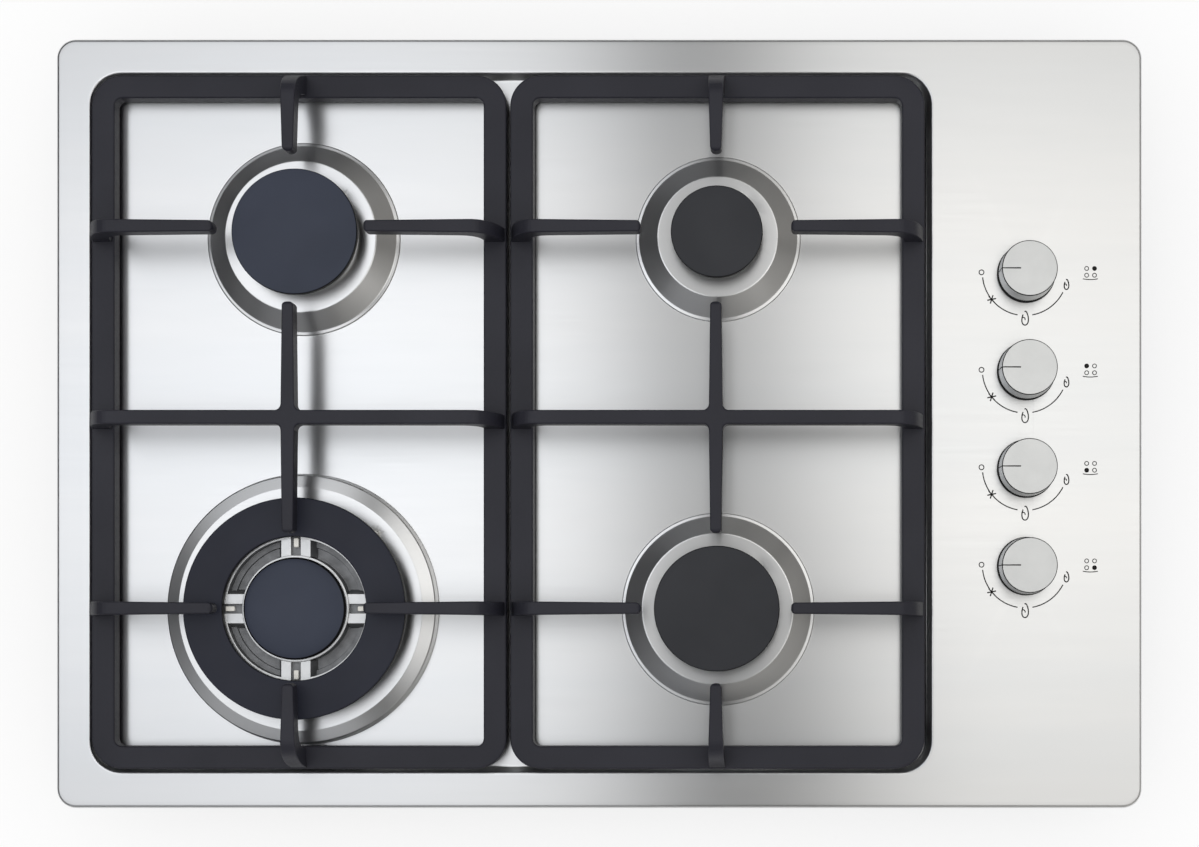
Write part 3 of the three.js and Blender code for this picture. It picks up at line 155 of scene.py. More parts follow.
def circle(radius, count, middle=(0.0, 0.0)):
    """Points at equal steps of angle, anticlockwise, at the radius from the middle."""
    a = np.arange(count) * 2 * np.pi / count
    return np.stack([middle[0] + radius * np.cos(a), middle[1] + radius * np.sin(a)], -1)


def rounded_rectangle(length, depth, radius, steps=10, middle=(0.0, 0.0)):
    """Four quarter arcs of the radius about the corners of a smaller rectangle, anticlockwise."""
    a = np.linspace(0, np.pi / 2, steps + 1)[None, :] + np.array([0, 1, 2, 3])[:, None] * np.pi / 2
    sx, sy = np.array([1, -1, -1, 1])[:, None], np.array([1, 1, -1, -1])[:, None]
    x = middle[0] + sx * (length / 2 - radius) + radius * np.cos(a)
    y = middle[1] + sy * (depth / 2 - radius) + radius * np.sin(a)
    return np.stack([x, y], -1).reshape(-1, 2)


def softened(corners, radii, steps=5):
    """A polyline with round corners: an arc that touches both sides takes each inner corner's place."""
    p = np.asarray(corners, float)
    line = [p[:1]]
    for before, at, after, radius in zip(p, p[1:], p[2:], radii):
        u, v = before - at, after - at
        u, v = u / np.linalg.norm(u), v / np.linalg.norm(v)
        half = np.arccos(np.clip(u @ v, -1, 1)) / 2
        centre = at + (u + v) / np.linalg.norm(u + v) * radius / np.sin(half)
        e0, e1 = at + u * radius / np.tan(half) - centre, at + v * radius / np.tan(half) - centre
        sweep = np.pi - 2 * half
        k = np.linspace(0, 1, steps + 1)[:, None]
        line.append(centre + (np.sin((1 - k) * sweep) * e0 + np.sin(k * sweep) * e1) / np.sin(sweep))
    line.append(p[-1:])
    return np.vstack(line)


def bezier(a, b, c, d, count):
    """A cubic through a and d, pulled towards b and c."""
    t = np.linspace(0, 1, count)[:, None]
    a, b, c, d = (np.asarray(q, float) for q in (a, b, c, d))
    return (1 - t) ** 3 * a + 3 * (1 - t) ** 2 * t * b + 3 * (1 - t) * t**2 * c + t**3 * d


def turned(profile, count=96, middle=(0.0, 0.0), close=True):
    """A profile of (radius, height) turned about an upright axis: x and y are the radius times cosine and sine."""
    p = np.asarray(profile, float)
    a = np.arange(count) * 2 * np.pi / count
    x = middle[0] + p[:, :1] * np.cos(a)
    y = middle[1] + p[:, :1] * np.sin(a)
    z = np.broadcast_to(p[:, 1:], x.shape)
    return np.stack([x, y, z], -1).reshape(-1, 3), cells(len(p), count, close_rows=close)


def drawn_round(outline, profile, close=False):
    """Outlines stacked at the heights of a profile of (inset, height). outline(inset) gives each one's points."""
    loops = [np.column_stack([outline(inset), np.full(len(outline(inset)), z)]) for inset, z in profile]
    return np.vstack(loops), cells(len(loops), len(loops[0]), close_rows=close)


def within(points, loop):
    """True for points inside a closed loop: a ray along X crosses the loop an odd number of times."""
    x, y = points[:, :1], points[:, 1:]
    x0, y0 = loop.T
    x1, y1 = np.roll(loop, -1, 0).T
    rise = np.where(y1 == y0, 1e-12, y1 - y0)
    crossed = ((y0 > y) != (y1 > y)) & (x < (x1 - x0) * (y - y0) / rise + x0)
    return crossed.sum(1) % 2 == 1


def flat_sheet(outer, holes, height):
    """A flat face between an outline and its holes, as Delaunay triangles facing up."""
    loops = [outer, *holes]
    starts = np.cumsum([0] + [len(loop) for loop in loops])
    edges = [(s + i, s + (i + 1) % len(loop)) for s, loop in zip(starts, loops) for i in range(len(loop))]
    plan = [Vector(p) for p in np.vstack(loops).tolist()]
    points, _, triangles, *_ = delaunay_2d_cdt(plan, edges, [], 1, 1e-7)
    points, triangles = np.array([tuple(p) for p in points]), np.array(triangles)
    middles = points[triangles].mean(1)
    kept = within(middles, outer)
    for hole in holes:
        kept &= ~within(middles, hole)
    return np.column_stack([points, np.full(len(points), height)]), triangles[kept].tolist()


def joined(*parts):
    """Several (points, faces) as one."""
    points, faces, start = [], [], 0
    for p, f in parts:
        points.append(p)
        faces += [tuple(int(i) + start for i in face) for face in f]
        start += len(p)
    return np.vstack(points), faces


def moved(part, x=0.0, y=0.0, z=0.0, turn=0.0):
    """A part turned about Z by an angle in degrees, then moved."""
    p, faces = part
    c, s = math.cos(math.radians(turn)), math.sin(math.radians(turn))
    return p @ np.array([[c, s, 0], [-s, c, 0], [0, 0, 1]]) + np.array([x, y, z]), faces


def block(low, high, flare=0.0):
    """A box between two corners, wider at its foot by the flare on both long sides."""
    x, y = (low[0], high[0]), (low[1], high[1])
    plan = np.array([(x[0], y[0]), (x[1], y[0]), (x[1], y[1]), (x[0], y[1])], float)
    foot = plan + np.array([[0, -flare], [0, -flare], [0, flare], [0, flare]])
    p = np.vstack([np.column_stack([foot, np.full(4, low[2])]), np.column_stack([plan, np.full(4, high[2])])])
    return p, cells(2, 4) + [(3, 2, 1, 0), (4, 5, 6, 7)]


def bare_mesh(part, name="part"):
    """A mesh of merged points with its faces turned outward."""
    points, faces = part
    mesh = bpy.data.meshes.new(name)
    mesh.from_pydata((points * MM).tolist(), [], faces)
    work = bmesh.new()
    work.from_mesh(mesh)
    bmesh.ops.remove_doubles(work, verts=work.verts, dist=2e-6)
    bmesh.ops.recalc_face_normals(work, faces=work.faces)
    work.to_mesh(mesh)
    work.free()
    return mesh


def merged_solids(base, added=(), taken=()):
    """One closed mesh: the base with solids added to it and then others cut out of it."""
    whole = bpy.data.objects.new("whole", bare_mesh(base))
    bpy.context.scene.collection.objects.link(whole)
    tools = []
    for operation, parts in (("UNION", added), ("DIFFERENCE", taken)):
        for part in parts:
            tool = bpy.data.objects.new("tool", bare_mesh(part))
            bpy.context.scene.collection.objects.link(tool)
            tools.append(tool)
            step = whole.modifiers.new("step", "BOOLEAN")
            step.operation, step.solver, step.object = operation, "EXACT", tool
    result = bpy.data.meshes.new_from_object(whole.evaluated_get(bpy.context.evaluated_depsgraph_get()))
    for used in (whole, *tools):
        bpy.data.objects.remove(used)
    return result


def vertex_places(mesh):
    """The mesh's vertex places in metres, one row each."""
    place = np.empty(len(mesh.vertices) * 3, np.float32)
    mesh.vertices.foreach_get("co", place)
    return place.reshape(-1, 3)


def shift_mesh(mesh, x, y=0.0):
    """Moves every vertex of a mesh by millimetres."""
    mesh.vertices.foreach_set("co", (vertex_places(mesh) + np.array([x * MM, y * MM, 0], np.float32)).ravel())


def make(name, shape, material, body="root", stands_for=(), crease=32, thickness=0.0):
    """A shown piece from a mesh, or from (points, faces), riding on a body."""
    mesh = shape if isinstance(shape, bpy.types.Mesh) else bare_mesh(shape)
    mesh.name = name
    mesh.shade_smooth()
    mesh.set_sharp_from_angle(angle=math.radians(crease))
    mesh.materials.clear()
    mesh.materials.append(material)
    made = bpy.data.objects.new(name, mesh)
    bpy.context.scene.collection.objects.link(made)
    if thickness:
        wall = made.modifiers.new("sheet", "SOLIDIFY")
        wall.thickness, wall.offset, wall.use_even_offset = thickness * MM, -1, True
    weighted = made.modifiers.new("normals", "WEIGHTED_NORMAL")
    weighted.keep_sharp = True
    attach(made, body)
    if stands_for:
        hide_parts(*stands_for)
    return made


# ------------------------------------------------------------------ surfaces


def linear(code):
    """An sRGB hex colour as linear red, green, blue and alpha."""
    c = np.array([int(code[i : i + 2], 16) for i in (1, 3, 5)]) / 255
    c = np.where(c <= 0.04045, c / 12.92, ((c + 0.055) / 1.055) ** 2.4)
    return (*c.tolist(), 1.0)


def node(tree, kind, links=(), **settings):
    """A node with its settings; links are (socket, value or output) pairs."""
    made = tree.nodes.new(kind)
    for key, value in settings.items():
        setattr(made, key, value)
    for socket, value in links:
        if isinstance(value, bpy.types.NodeSocket):
            tree.links.new(value, made.inputs[socket])
        else:
            made.inputs[socket].default_value = value
    return made


def grain(tree, size_mm, stretch=(1.0, 1.0, 1.0), detail=2.0, roughness=0.5):
    """Noise whose features are about size_mm across, drawn out along an axis by its stretch."""
    place = node(tree, "ShaderNodeTexCoord").outputs["Object"]
    scale = tuple(1.0 / (s * size_mm * MM) for s in stretch)
    spread = node(tree, "ShaderNodeMapping", [("Vector", place), ("Scale", scale)])
    noise = node(tree, "ShaderNodeTexNoise", [("Vector", spread.outputs[0]), ("Scale", 1.0), ("Detail", detail),
                                              ("Roughness", roughness)])
    return noise.outputs["Fac"]


def ranged(tree, value, low, high):
    """A 0.3 to 0.7 value spread to run from low to high."""
    return node(tree, "ShaderNodeMapRange", [("Value", value), ("From Min", 0.3), ("From Max", 0.7),
                                             ("To Min", low), ("To Max", high)]).outputs["Result"]


def blended(tree, value, first, second):
    """A colour that runs from the first hex to the second with the value."""
    mix = node(tree, "ShaderNodeMix", data_type="RGBA")
    tree.links.new(value, mix.inputs["Factor"])
    mix.inputs[6].default_value, mix.inputs[7].default_value = linear(first), linear(second)
    return mix.outputs[2]


def finish(name, colours, roughness, mottle_mm, grain_mm, relief_mm, stretch=(1.0, 1.0, 1.0), metallic=0.0,
           tangent=None, **sockets):
    """A surface: two close colours in soft patches, a band of roughness, and a fine relief."""
    material = bpy.data.materials.new(name)
    material.use_nodes = True
    tree = material.node_tree
    shader = tree.nodes["Principled BSDF"]
    patches = ranged(tree, grain(tree, mottle_mm, stretch), 0.0, 1.0)
    fine = grain(tree, grain_mm, stretch)
    tree.links.new(blended(tree, patches, *colours), shader.inputs["Base Color"])
    tree.links.new(ranged(tree, fine, *roughness), shader.inputs["Roughness"])
    if relief_mm:
        relief = node(tree, "ShaderNodeBump", [("Height", fine), ("Distance", relief_mm * MM), ("Strength", 1.0)])
        tree.links.new(relief.outputs[0], shader.inputs["Normal"])
    shader.inputs["Metallic"].default_value = metallic
    if tangent:
        along = node(tree, "ShaderNodeTangent", direction_type="UV_MAP", uv_map=tangent)
        tree.links.new(along.outputs[0], shader.inputs["Tangent"])
    for socket, value in sockets.items():
        shader.inputs[socket.replace("_", " ")].default_value = value
    return material


# cold-rolled stainless, belt-brushed along the plate: reflections are drawn out across the brush lines.
# Real lines are 0.05 mm apart, drawn here as 0.9 mm streaks so that they show.
stainless = finish("stainless_sheet_brushed", ("#E1E2E3", "#E5E5E5"), (0.29, 0.315), 40, 0.9, 0.00035,
                   stretch=(60, 1, 1), metallic=1.0, tangent="brushing", Anisotropic=0.8)
# cast iron with fired matt enamel: near black with a violet cast, a soft sheen, a slight orange peel.
cast_enamel = finish("cast_iron_enamel_matt", ("#21212A", "#272730"), (0.42, 0.52), 60, 1.4, 0.008,
                     Specular_IOR_Level=0.28)
# pressed steel cap with fired enamel, finer than the castings: grey, with a blue-black copy on the left burners whose
# blue is a painted reflection.
cap_enamel = finish("steel_cap_enamel_fired", ("#2F3441", "#343947"), (0.36, 0.44), 45, 0.9, 0.004,
                    Specular_IOR_Level=0.2)
grey_cap_enamel = finish("steel_cap_enamel_fired_grey", ("#2A2B2F", "#303135"), (0.36, 0.44), 45, 0.9, 0.004,
                         Specular_IOR_Level=0.2)
# the ring's enamel, darker than the caps', with the blue cast of a painted reflection.
ring_enamel = finish("steel_ring_enamel_fired", ("#21232E", "#262833"), (0.40, 0.48), 45, 0.9, 0.004,
                     Specular_IOR_Level=0.2)
# the same enamel painted near black, as painted shade, on the round edges, sides and undersides of the caps and the
# ring.
painted_edge_shade_enamel = finish("steel_cap_enamel_painted_edge_shade", ("#08080A", "#0C0C0E"), (0.40, 0.50), 20, 0.9, 0.003,
                     Specular_IOR_Level=0.1)
# die-cast aluminium, tumbled: pale and slightly uneven from the die.
cast_aluminium = finish("aluminium_die_cast_tumbled", ("#C9CACB", "#D6D6D6"), (0.34, 0.44), 9, 0.8, 0.01,
                        metallic=1.0)
# the same metal left as cast in the wells: grey, dull and pitted, next to the bright machined faces; its dark grey is
# partly painted shade of the deep wells.
cast_well_and_painted_shade = finish("aluminium_as_cast_and_painted_shade", ("#77787A", "#8C8D8F"), (0.46, 0.58), 7, 0.7, 0.02, metallic=0.75)
# zinc knob with satin chrome: pale and smooth, with a broad even reflection.
satin_chrome = finish("zinc_satin_chrome", ("#CFD0D0", "#D4D5D5"), (0.40, 0.46), 12, 0.7, 0.0006, metallic=1.0)
# the knob's bevel, cut and polished, painted dark grey: a painted reflection of the dark room beyond the ceiling's
# glow, drawn as a thin outline.
chrome_bevel_painted_dark = finish("zinc_chrome_bevel_painted_reflection", ("#48494A", "#505152"), (0.16, 0.20), 12, 0.7, 0.0004,
                      metallic=1.0)
# moulded EPDM: dull black with a faint skin.
black_rubber = finish("epdm_moulded", ("#121213", "#171718"), (0.70, 0.80), 6, 0.8, 0.01)
# zinc-coated steel sheet: pale grey with spangle patches.
galvanised = finish("steel_hot_dip_galvanised", ("#9EA2A5", "#B4B7B9"), (0.36, 0.50), 11, 3.0, 0.004, metallic=1.0)
# turned brass: warm yellow with fine tool marks round the axis.
turned_brass = finish("brass_turned", ("#B08E45", "#C2A057"), (0.24, 0.34), 5, 0.5, 0.003, metallic=1.0)
# drawn aluminium tube: bright along its length.
drawn_aluminium = finish("aluminium_tube_drawn", ("#C4C6C8", "#D2D3D4"), (0.28, 0.36), 8, 0.6, 0.002, metallic=1.0)
# moulded glass-filled nylon: black with a faint spark-eroded grain.
black_nylon = finish("nylon_moulded_black", ("#18191B", "#1E1F21"), (0.48, 0.58), 7, 0.6, 0.01)
# glazed alumina: cream white and glossy.
porcelain = finish("alumina_glazed", ("#E6E3DB", "#EFEDE7"), (0.14, 0.22), 5, 1.2, 0.003, Coat_Weight=0.3)
# closed-cell foam strip: dark grey, dull, with open skin.
foam = finish("polyethylene_foam_strip", ("#2A2A2B", "#343435"), (0.85, 0.95), 4, 0.7, 0.05)
# screen-printed ink: black, matt.
ink = finish("ink_screen_printed", ("#121211", "#191918"), (0.5, 0.6), 3, 0.4, 0.0, Specular_IOR_Level=0.3)

# ------------------------------------------------------------------ the pressed plate


def recess_outline(inset):
    """The recess's rounded rectangle, drawn in by the inset."""
    return rounded_rectangle(RECESS["length"] - 2 * inset, RECESS["depth"] - 2 * inset,
                             RECESS["corner"] - inset, 12, RECESS["middle"])


def plate_outline(inset):
    """The plate's rounded rectangle, drawn in by the inset."""
    return rounded_rectangle(PLATE["length"] - 2 * inset, PLATE["depth"] - 2 * inset, PLATE["corner"] - inset, 12)


def electrode_place(x, y, size):
    """The electrode stands at its reach from the burner's axis, at 45 degrees."""
    reach = size["electrode"]
    return x + reach * math.cos(ELECTRODE_ANGLE), y + reach * math.sin(ELECTRODE_ANGLE)


def pressed_plate():
    """The top skin: flat sheets joined by folds that are turned or drawn round, then given the sheet's thickness."""
    edge = softened([(PLATE["edge"] + GUARD, RIM_TOP), (0, RIM_TOP), (0, LIP_FOOT)], [PLATE["edge"]], 6)
    wall = softened([(-GUARD, RIM_TOP), (0, RIM_TOP), (RECESS["run"], FLOOR_TOP),
                     (RECESS["run"] + GUARD, FLOOR_TOP)], [2.0, 2.0])
    spindles = [circle(SPINDLE_HOLE, 32, (KNOB_X, y)) for y in KNOB_Y.values()]
    rim = flat_sheet(plate_outline(PLATE["edge"] + GUARD), [recess_outline(-GUARD), *spindles], RIM_TOP)
    feet = [circle(size["cone"] + size["guard"], 128, (x, y)) for x, y, size in BURNERS.values()]
    floor = flat_sheet(recess_outline(RECESS["run"] + GUARD), feet, FLOOR_TOP)
    parts = [rim, floor, drawn_round(plate_outline, edge), drawn_round(recess_outline, wall)]
    for x, y, size in BURNERS.values():
        guard, cone, platform = size["guard"], size["cone"], size["platform"]
        step_in, step_up, bead_in, bead_up = size["foot"]
        slope = softened([(cone + guard, FLOOR_TOP), (cone + 0.4, FLOOR_TOP), (cone - step_in, FLOOR_TOP + step_up),
                          (cone - bead_in, FLOOR_TOP + bead_up), (platform, PLATFORM_TOP),
                          (platform - guard, PLATFORM_TOP)], [0.4, 0.4, size["fold"], size["fold"]], 6)
        parts.append(turned(slope, 128, (x, y), close=False))
        holes = [circle(size["throat"], 96, (x, y)),
                 circle(ELECTRODE_RADIUS + 0.3, 24, electrode_place(x, y, size))]
        parts.append(flat_sheet(circle(platform - guard, 128, (x, y)), holes, PLATFORM_TOP))
    return joined(*parts)


def brushing_map(mesh):
    """A map whose U runs across the brush lines, along Y, and whose V runs back along X, both in metres."""
    corner = np.empty(len(mesh.loops), np.int32)
    mesh.loops.foreach_get("vertex_index", corner)
    at = vertex_places(mesh)[corner]
    layer = mesh.uv_layers.new(name="brushing")
    layer.data.foreach_set("uv", np.stack([at[:, 1], -at[:, 0]], -1).astype(np.float32).ravel())


def facing_up(mesh):
    """Turns a skin so that its flat faces look up."""
    work = bmesh.new()
    work.from_mesh(mesh)
    if sum(f.normal.z * f.calc_area() for f in work.faces) < 0:
        bmesh.ops.reverse_faces(work, faces=work.faces)
    work.to_mesh(mesh)
    work.free()


plate_skin = bare_mesh(pressed_plate())
facing_up(plate_skin)
brushing_map(plate_skin)
make("steel_plate", plate_skin, stainless, stands_for=["hob_plate"], thickness=SHEET)

# ------------------------------------------------------------------ the cast pan supports


def support_frame():
    """The low frame: a bar section with round edges drawn round the support's outline."""
    section = softened([(4, FRAME_BOTTOM), (0, FRAME_BOTTOM), (0, FRAME_TOP), (FRAME_WIDTH, FRAME_TOP),
                        (FRAME_WIDTH, FRAME_BOTTOM), (4, FRAME_BOTTOM)], [1.2, 1.3, 1.3, 1.2], 4)[:-1]

    def outline(inset):
        """The support's rounded rectangle, drawn in by the inset."""
        return rounded_rectangle(SUPPORT["length"] - 2 * inset, SUPPORT["depth"] - 2 * inset,
                                 SUPPORT["corner"] - inset, 14)

    return drawn_round(outline, section, close=True)


BACK = bezier((0.6, FRAME_TOP - 2), (3.2, 79.7), (8.1, SUPPORT_TOP), (20.0, SUPPORT_TOP), 16)
ARCH = bezier((ARCH_START, FRAME_TOP - 1), (14.6, 80.0), (18.5, BLADE_UNDER), (30.0, BLADE_UNDER), 14)


def blade(length, start, end, widths):
    """A cast finger along +X. Each station is a rounded rectangle between the heights of its two edges there.

    A tip closes as a quarter ellipse in plan and side view. A root follows the back curve and the arch. The
    width runs straight between its values at the start, the middle and the end.
    """
    tip = TIP_CLOSING * (1 - np.cos(np.linspace(0, np.pi / 2, 7)))
    root = np.sort(np.concatenate([BACK[:, 0], ARCH[:, 0], [ARCH_START - 0.01]]))
    near = tip if start == "tip" else root
    far = length - (tip if end == "tip" else root)[::-1]
    s = np.unique(np.round(np.concatenate([near, [length / 2], far]), 4))
    half = np.interp(s, [0, length / 2, length], widths) / 2
    top, under = np.full(len(s), SUPPORT_TOP), np.full(len(s), BLADE_UNDER)
    for kind, d in ((start, s), (end, length - s)):
        if kind == "tip":
            close = np.sqrt(np.clip(1 - (1 - np.clip(d / TIP_CLOSING, 0, 1)) ** 2, 0, 1))
            half *= 0.18 + 0.82 * close
            top -= TIP_FALL * (1 - close)
            under += TIP_RISE * (1 - close)
        else:
            top = np.minimum(top, np.interp(d, BACK[:, 0], BACK[:, 1]))
            low = np.interp(d, ARCH[:, 0], ARCH[:, 1])
            under = np.minimum(under, np.where(d < ARCH_START, FRAME_BOTTOM + 3, low))
    corner = softened([(1, 0), (1, 1), (0, 1)], [0.999], 4)[1:-1]
    r = np.minimum(1.0, half * 0.8)[:, None]
    drawn_in = (corner - 1.0)[None] * r[..., None]
    yy = half[:, None] + drawn_in[..., 0]
    zz = drawn_in[..., 1]
    right_top = np.stack([yy, top[:, None] + zz], -1)
    left_top = np.stack([-yy, top[:, None] + zz], -1)[:, ::-1]
    left_low = np.stack([-yy, under[:, None] - zz], -1)
    right_low = np.stack([yy, under[:, None] - zz], -1)[:, ::-1]
    ring = np.concatenate([right_top, left_top, left_low, right_low], 1)
    count = ring.shape[1]
    x = np.broadcast_to(s[:, None, None], (len(s), count, 1))
    points = np.concatenate([x, ring], -1).reshape(-1, 3)
    faces = cells(len(s), count) + [tuple(range(count))[::-1], tuple(range(len(points) - count, len(points)))]
    return points, faces


def cross_middle():
    """The four concave fillets where the two long blades cross: a plus whose inner corners are arcs."""

    def outline(inset):
        """The plus, drawn in by the inset."""
        half, fillet = BLADE_WIDTH / 2 - inset, 4.0 + inset
        a = np.linspace(np.pi * 1.5, np.pi, 7)
        corner = np.stack([half + 4 + inset + fillet * np.cos(a), half + 4 + inset + fillet * np.sin(a)], -1)
        corner = corner[::-1] if corner[0, 0] < corner[-1, 0] else corner
        quarter = [corner @ np.array([[math.cos(t), math.sin(t)], [-math.sin(t), math.cos(t)]])
                   for t in (0, math.pi / 2, math.pi, 1.5 * math.pi)]
        return np.vstack(quarter)

    profile = softened([(3, BLADE_UNDER), (0.02, BLADE_UNDER), (0.02, SUPPORT_TOP - 0.01),
                        (3, SUPPORT_TOP - 0.01)], [1.15, 1.15], 4)
    points, faces = drawn_round(outline, profile)
    count = len(outline(0))
    last = len(points) - count
    return points, faces + [tuple(range(count))[::-1], tuple(range(last, last + count))]


def pan_support():
    """The frame with its cross, its three fingers to each burner and its four feet, as one casting."""
    half_x, half_y = SUPPORT["length"] / 2, SUPPORT["depth"] / 2
    side_widths = (TIP_WIDTH, (TIP_WIDTH + BLADE_WIDTH) / 2, BLADE_WIDTH)
    end_widths = (TIP_WIDTH, (TIP_WIDTH + CENTRE_ROOT_WIDTH) / 2, CENTRE_ROOT_WIDTH)
    side = moved(blade(half_x - TIP_RADIUS, "tip", "root", side_widths), x=TIP_RADIUS)
    end = moved(blade(half_y - BURNER_Y - TIP_RADIUS, "tip", "root", end_widths), x=TIP_RADIUS)
    added = []
    for sign in (1, -1):
        added += [moved(side, y=sign * BURNER_Y), moved(side, y=sign * BURNER_Y, turn=180),
                  moved(end, y=sign * BURNER_Y, turn=sign * 90)]
    arm = BURNER_Y - TIP_RADIUS
    added.append(moved(blade(2 * half_x, "root", "root", (BLADE_WIDTH,) * 3), x=-half_x))
    added.append(moved(moved(blade(2 * arm, "tip", "tip", (TIP_WIDTH, BLADE_WIDTH, TIP_WIDTH)), x=-arm), turn=90))
    added.append(cross_middle())
    foot = softened([(0, FLOOR_TOP + 0.3), (5, FLOOR_TOP + 0.3), (5, FRAME_BOTTOM + 2), (0, FRAME_BOTTOM + 2)],
                    [0.8, 0.3], 3)
    for sx in (1, -1):
        for sy in (1, -1):
            added.append(turned(foot, 32, (sx * (half_x - FRAME_WIDTH / 2), sy * (half_y - 25)), close=False))
    return merged_solids(support_frame(), added)


casting = pan_support()
for side, x in (("left", LEFT_X), ("right", RIGHT_X)):
    mesh = casting.copy()
    shift_mesh(mesh, x)
    make(f"{side}_support_casting", mesh, cast_enamel, f"{side}_support", [f"{side}_pan_support"],
         crease=38)

# ------------------------------------------------------------------ burners


def port_angles(ports, notch=None):
    """Angles at the edges of each flame port, with the share of the port's depth at each."""
    steps = np.array([0.0, 0.34, 0.37, 0.63, 0.66])
    a = ((np.arange(ports)[:, None] + steps) * 2 * np.pi / ports).ravel()
    share = np.tile([0.0, 0.0, 1.0, 1.0, 0.0], ports)
    if notch is None:
        return a, share
    extra = ELECTRODE_ANGLE + np.linspace(-1, 1, 21) * notch
    near = np.abs(a - ELECTRODE_ANGLE) < notch * 1.05
    a, share = np.concatenate([a[~near], extra]), np.concatenate([share[~near], np.zeros(len(extra))])
    order = np.argsort(a)
    return a[order], share[order]


def head_shell(size, x, y):
    """A burner head: a turned profile whose crown edge drops at each port and steps in round the electrode."""
    skirt = size["throat"] - 0.5
    bore = skirt * BORE_SHARE
    well = CROWN_BOTTOM + WELL_RISE
    crown, inner = size["crown"], size["crown"] - CROWN_WALL
    outer = softened([(skirt - 2, CROWN_BOTTOM - SKIRT_DEPTH), (skirt, CROWN_BOTTOM - SKIRT_DEPTH),
                      (skirt, CROWN_BOTTOM), (crown + 0.6, CROWN_BOTTOM), (crown + 0.6, CROWN_BOTTOM + 2.6),
                      (crown - 0.6, CROWN_TOP), (inner, CROWN_TOP), (inner - 0.6, well), (bore, well),
                      (bore, CROWN_BOTTOM), (skirt - 2, CROWN_BOTTOM - SKIRT_DEPTH)],
                     [0.5, 0.4, 0.5, 0.6, 0.5, 0.5, 0.8, 0.8, 0.5], 2)[:-1]
    reach = ELECTRODE_RADIUS + 0.6
    a, share = port_angles(size["ports"], reach / size["electrode"] * 1.1)
    off = size["electrode"] * np.sin(a - ELECTRODE_ANGLE)
    limit = size["electrode"] * np.cos(a - ELECTRODE_ANGLE) - np.sqrt(np.clip(reach**2 - off**2, 0, None))
    limit = np.where((np.abs(off) < reach) & (np.cos(a - ELECTRODE_ANGLE) > 0), limit, 1e3)
    r = np.minimum(outer[:, :1], np.maximum(limit, bore + 1)[None])
    lip = np.clip((outer[:, 1:] - (CROWN_TOP - 1.2)) / 1.2, 0, 1)
    z = outer[:, 1:] - PORT_DEPTH * share[None] * lip
    points = np.stack([x + r * np.cos(a), y + r * np.sin(a), z + 0 * r], -1).reshape(-1, 3)
    return points, cells(len(outer), len(a), close_rows=True)


def cap_shell(size, x, y):
    """A burner cap: a shallow dome with a round edge, hollow below, with its locating ring."""
    ring = size["crown"] - CROWN_WALL - RING_GAP
    cap = size["cap"]
    dome = [(0.0, CAP_TOP), (cap * 0.55, CAP_TOP - 0.08), (cap, CAP_TOP - 0.5), (cap, CAP_BOTTOM),
            (ring, CAP_BOTTOM), (ring, CAP_BOTTOM - 2.5), (ring - 2, CAP_BOTTOM - 2.5),
            (ring - 2, CAP_TOP - CAP_HOLLOW), (0.0, CAP_TOP - CAP_HOLLOW)]
    return turned(softened(dome, [200, 1.0, 0.4, 0.5, 0.5, 0.5, 0.8], 5), 128, (x, y), close=False)


def wok_head(size, x, y):
    """The wok burner's head: an outer and an inner crown joined by four grooved spokes."""
    skirt, bore = size["throat"] - 0.5, (size["throat"] - 0.5) * BORE_SHARE
    inside, well = size["cap_hole"] - HOLE_GAP, CROWN_BOTTOM + 3.6
    crown, inner = size["crown"], size["inner_crown"]
    step = inner - INNER_STEP
    profile = [
        (skirt - 2, CROWN_BOTTOM - SKIRT_DEPTH), (skirt, CROWN_BOTTOM - SKIRT_DEPTH), (skirt, CROWN_BOTTOM),
        (crown + 0.6, CROWN_BOTTOM), (crown + 0.6, CROWN_BOTTOM + 2.6), (crown - 0.6, CROWN_TOP),
        (crown - CROWN_WALL, CROWN_TOP), (crown - CROWN_WALL - 0.6, well + 2), (inside + CROWN_WALL, well + 2),
        (inside + CROWN_WALL, CROWN_TOP), (inside, CROWN_TOP), (inside, well + 1.6), (inside - 3.6, well + 1.6),
        (inside - 3.9, well), (inner, well), (inner, CROWN_TOP + 1.2), (step, CROWN_TOP + 1.2), (step, CROWN_TOP),
        (step - CROWN_WALL, CROWN_TOP), (step - CROWN_WALL, well), (bore, well), (bore, CROWN_BOTTOM),
        (skirt - 2, CROWN_BOTTOM - SKIRT_DEPTH)]
    soft = softened(profile, [0.5, 0.4, 0.5, 0.6, 0.5, 0.5, 0.6, 0.6, 0.5, 0.5, 0.6, 0.15, 0.15, 0.6, 0.6, 0.5,
                              0.3, 0.5, 0.5, 0.6, 0.6, 0.5], 2)[:-1]
    body = turned(soft, 120)
    reach = inside + CROWN_WALL / 2
    spoke = block((inner - 1, -size["spoke"] / 2, well - 1), (reach, size["spoke"] / 2, CROWN_TOP - 0.15),
                  flare=SPOKE_FLARE)
    groove = block((inner + 0.02, -size["groove"] / 2, CROWN_TOP - GROOVE_DEPTH),
                   (reach + 6, size["groove"] / 2, CROWN_TOP + 3))
    port = block((crown - CROWN_WALL - 1, -1.0, CROWN_TOP - PORT_DEPTH), (crown + 3, 1.0, CROWN_TOP + 1))
    ports = [moved(port, turn=360 * (i + 0.5) / size["ports"]) for i in range(size["ports"])]
    hole = turned([(0, CROWN_BOTTOM - 2), (2.6, CROWN_BOTTOM - 2), (2.6, CAP_TOP), (0, CAP_TOP)], 24,
                  electrode_place(0, 0, size), close=False)
    head = merged_solids(body, [moved(spoke, turn=turn) for turn in QUARTERS],
                         [joined(*ports), *[moved(groove, turn=turn) for turn in QUARTERS], hole])
    shift_mesh(head, x, y)
    return head


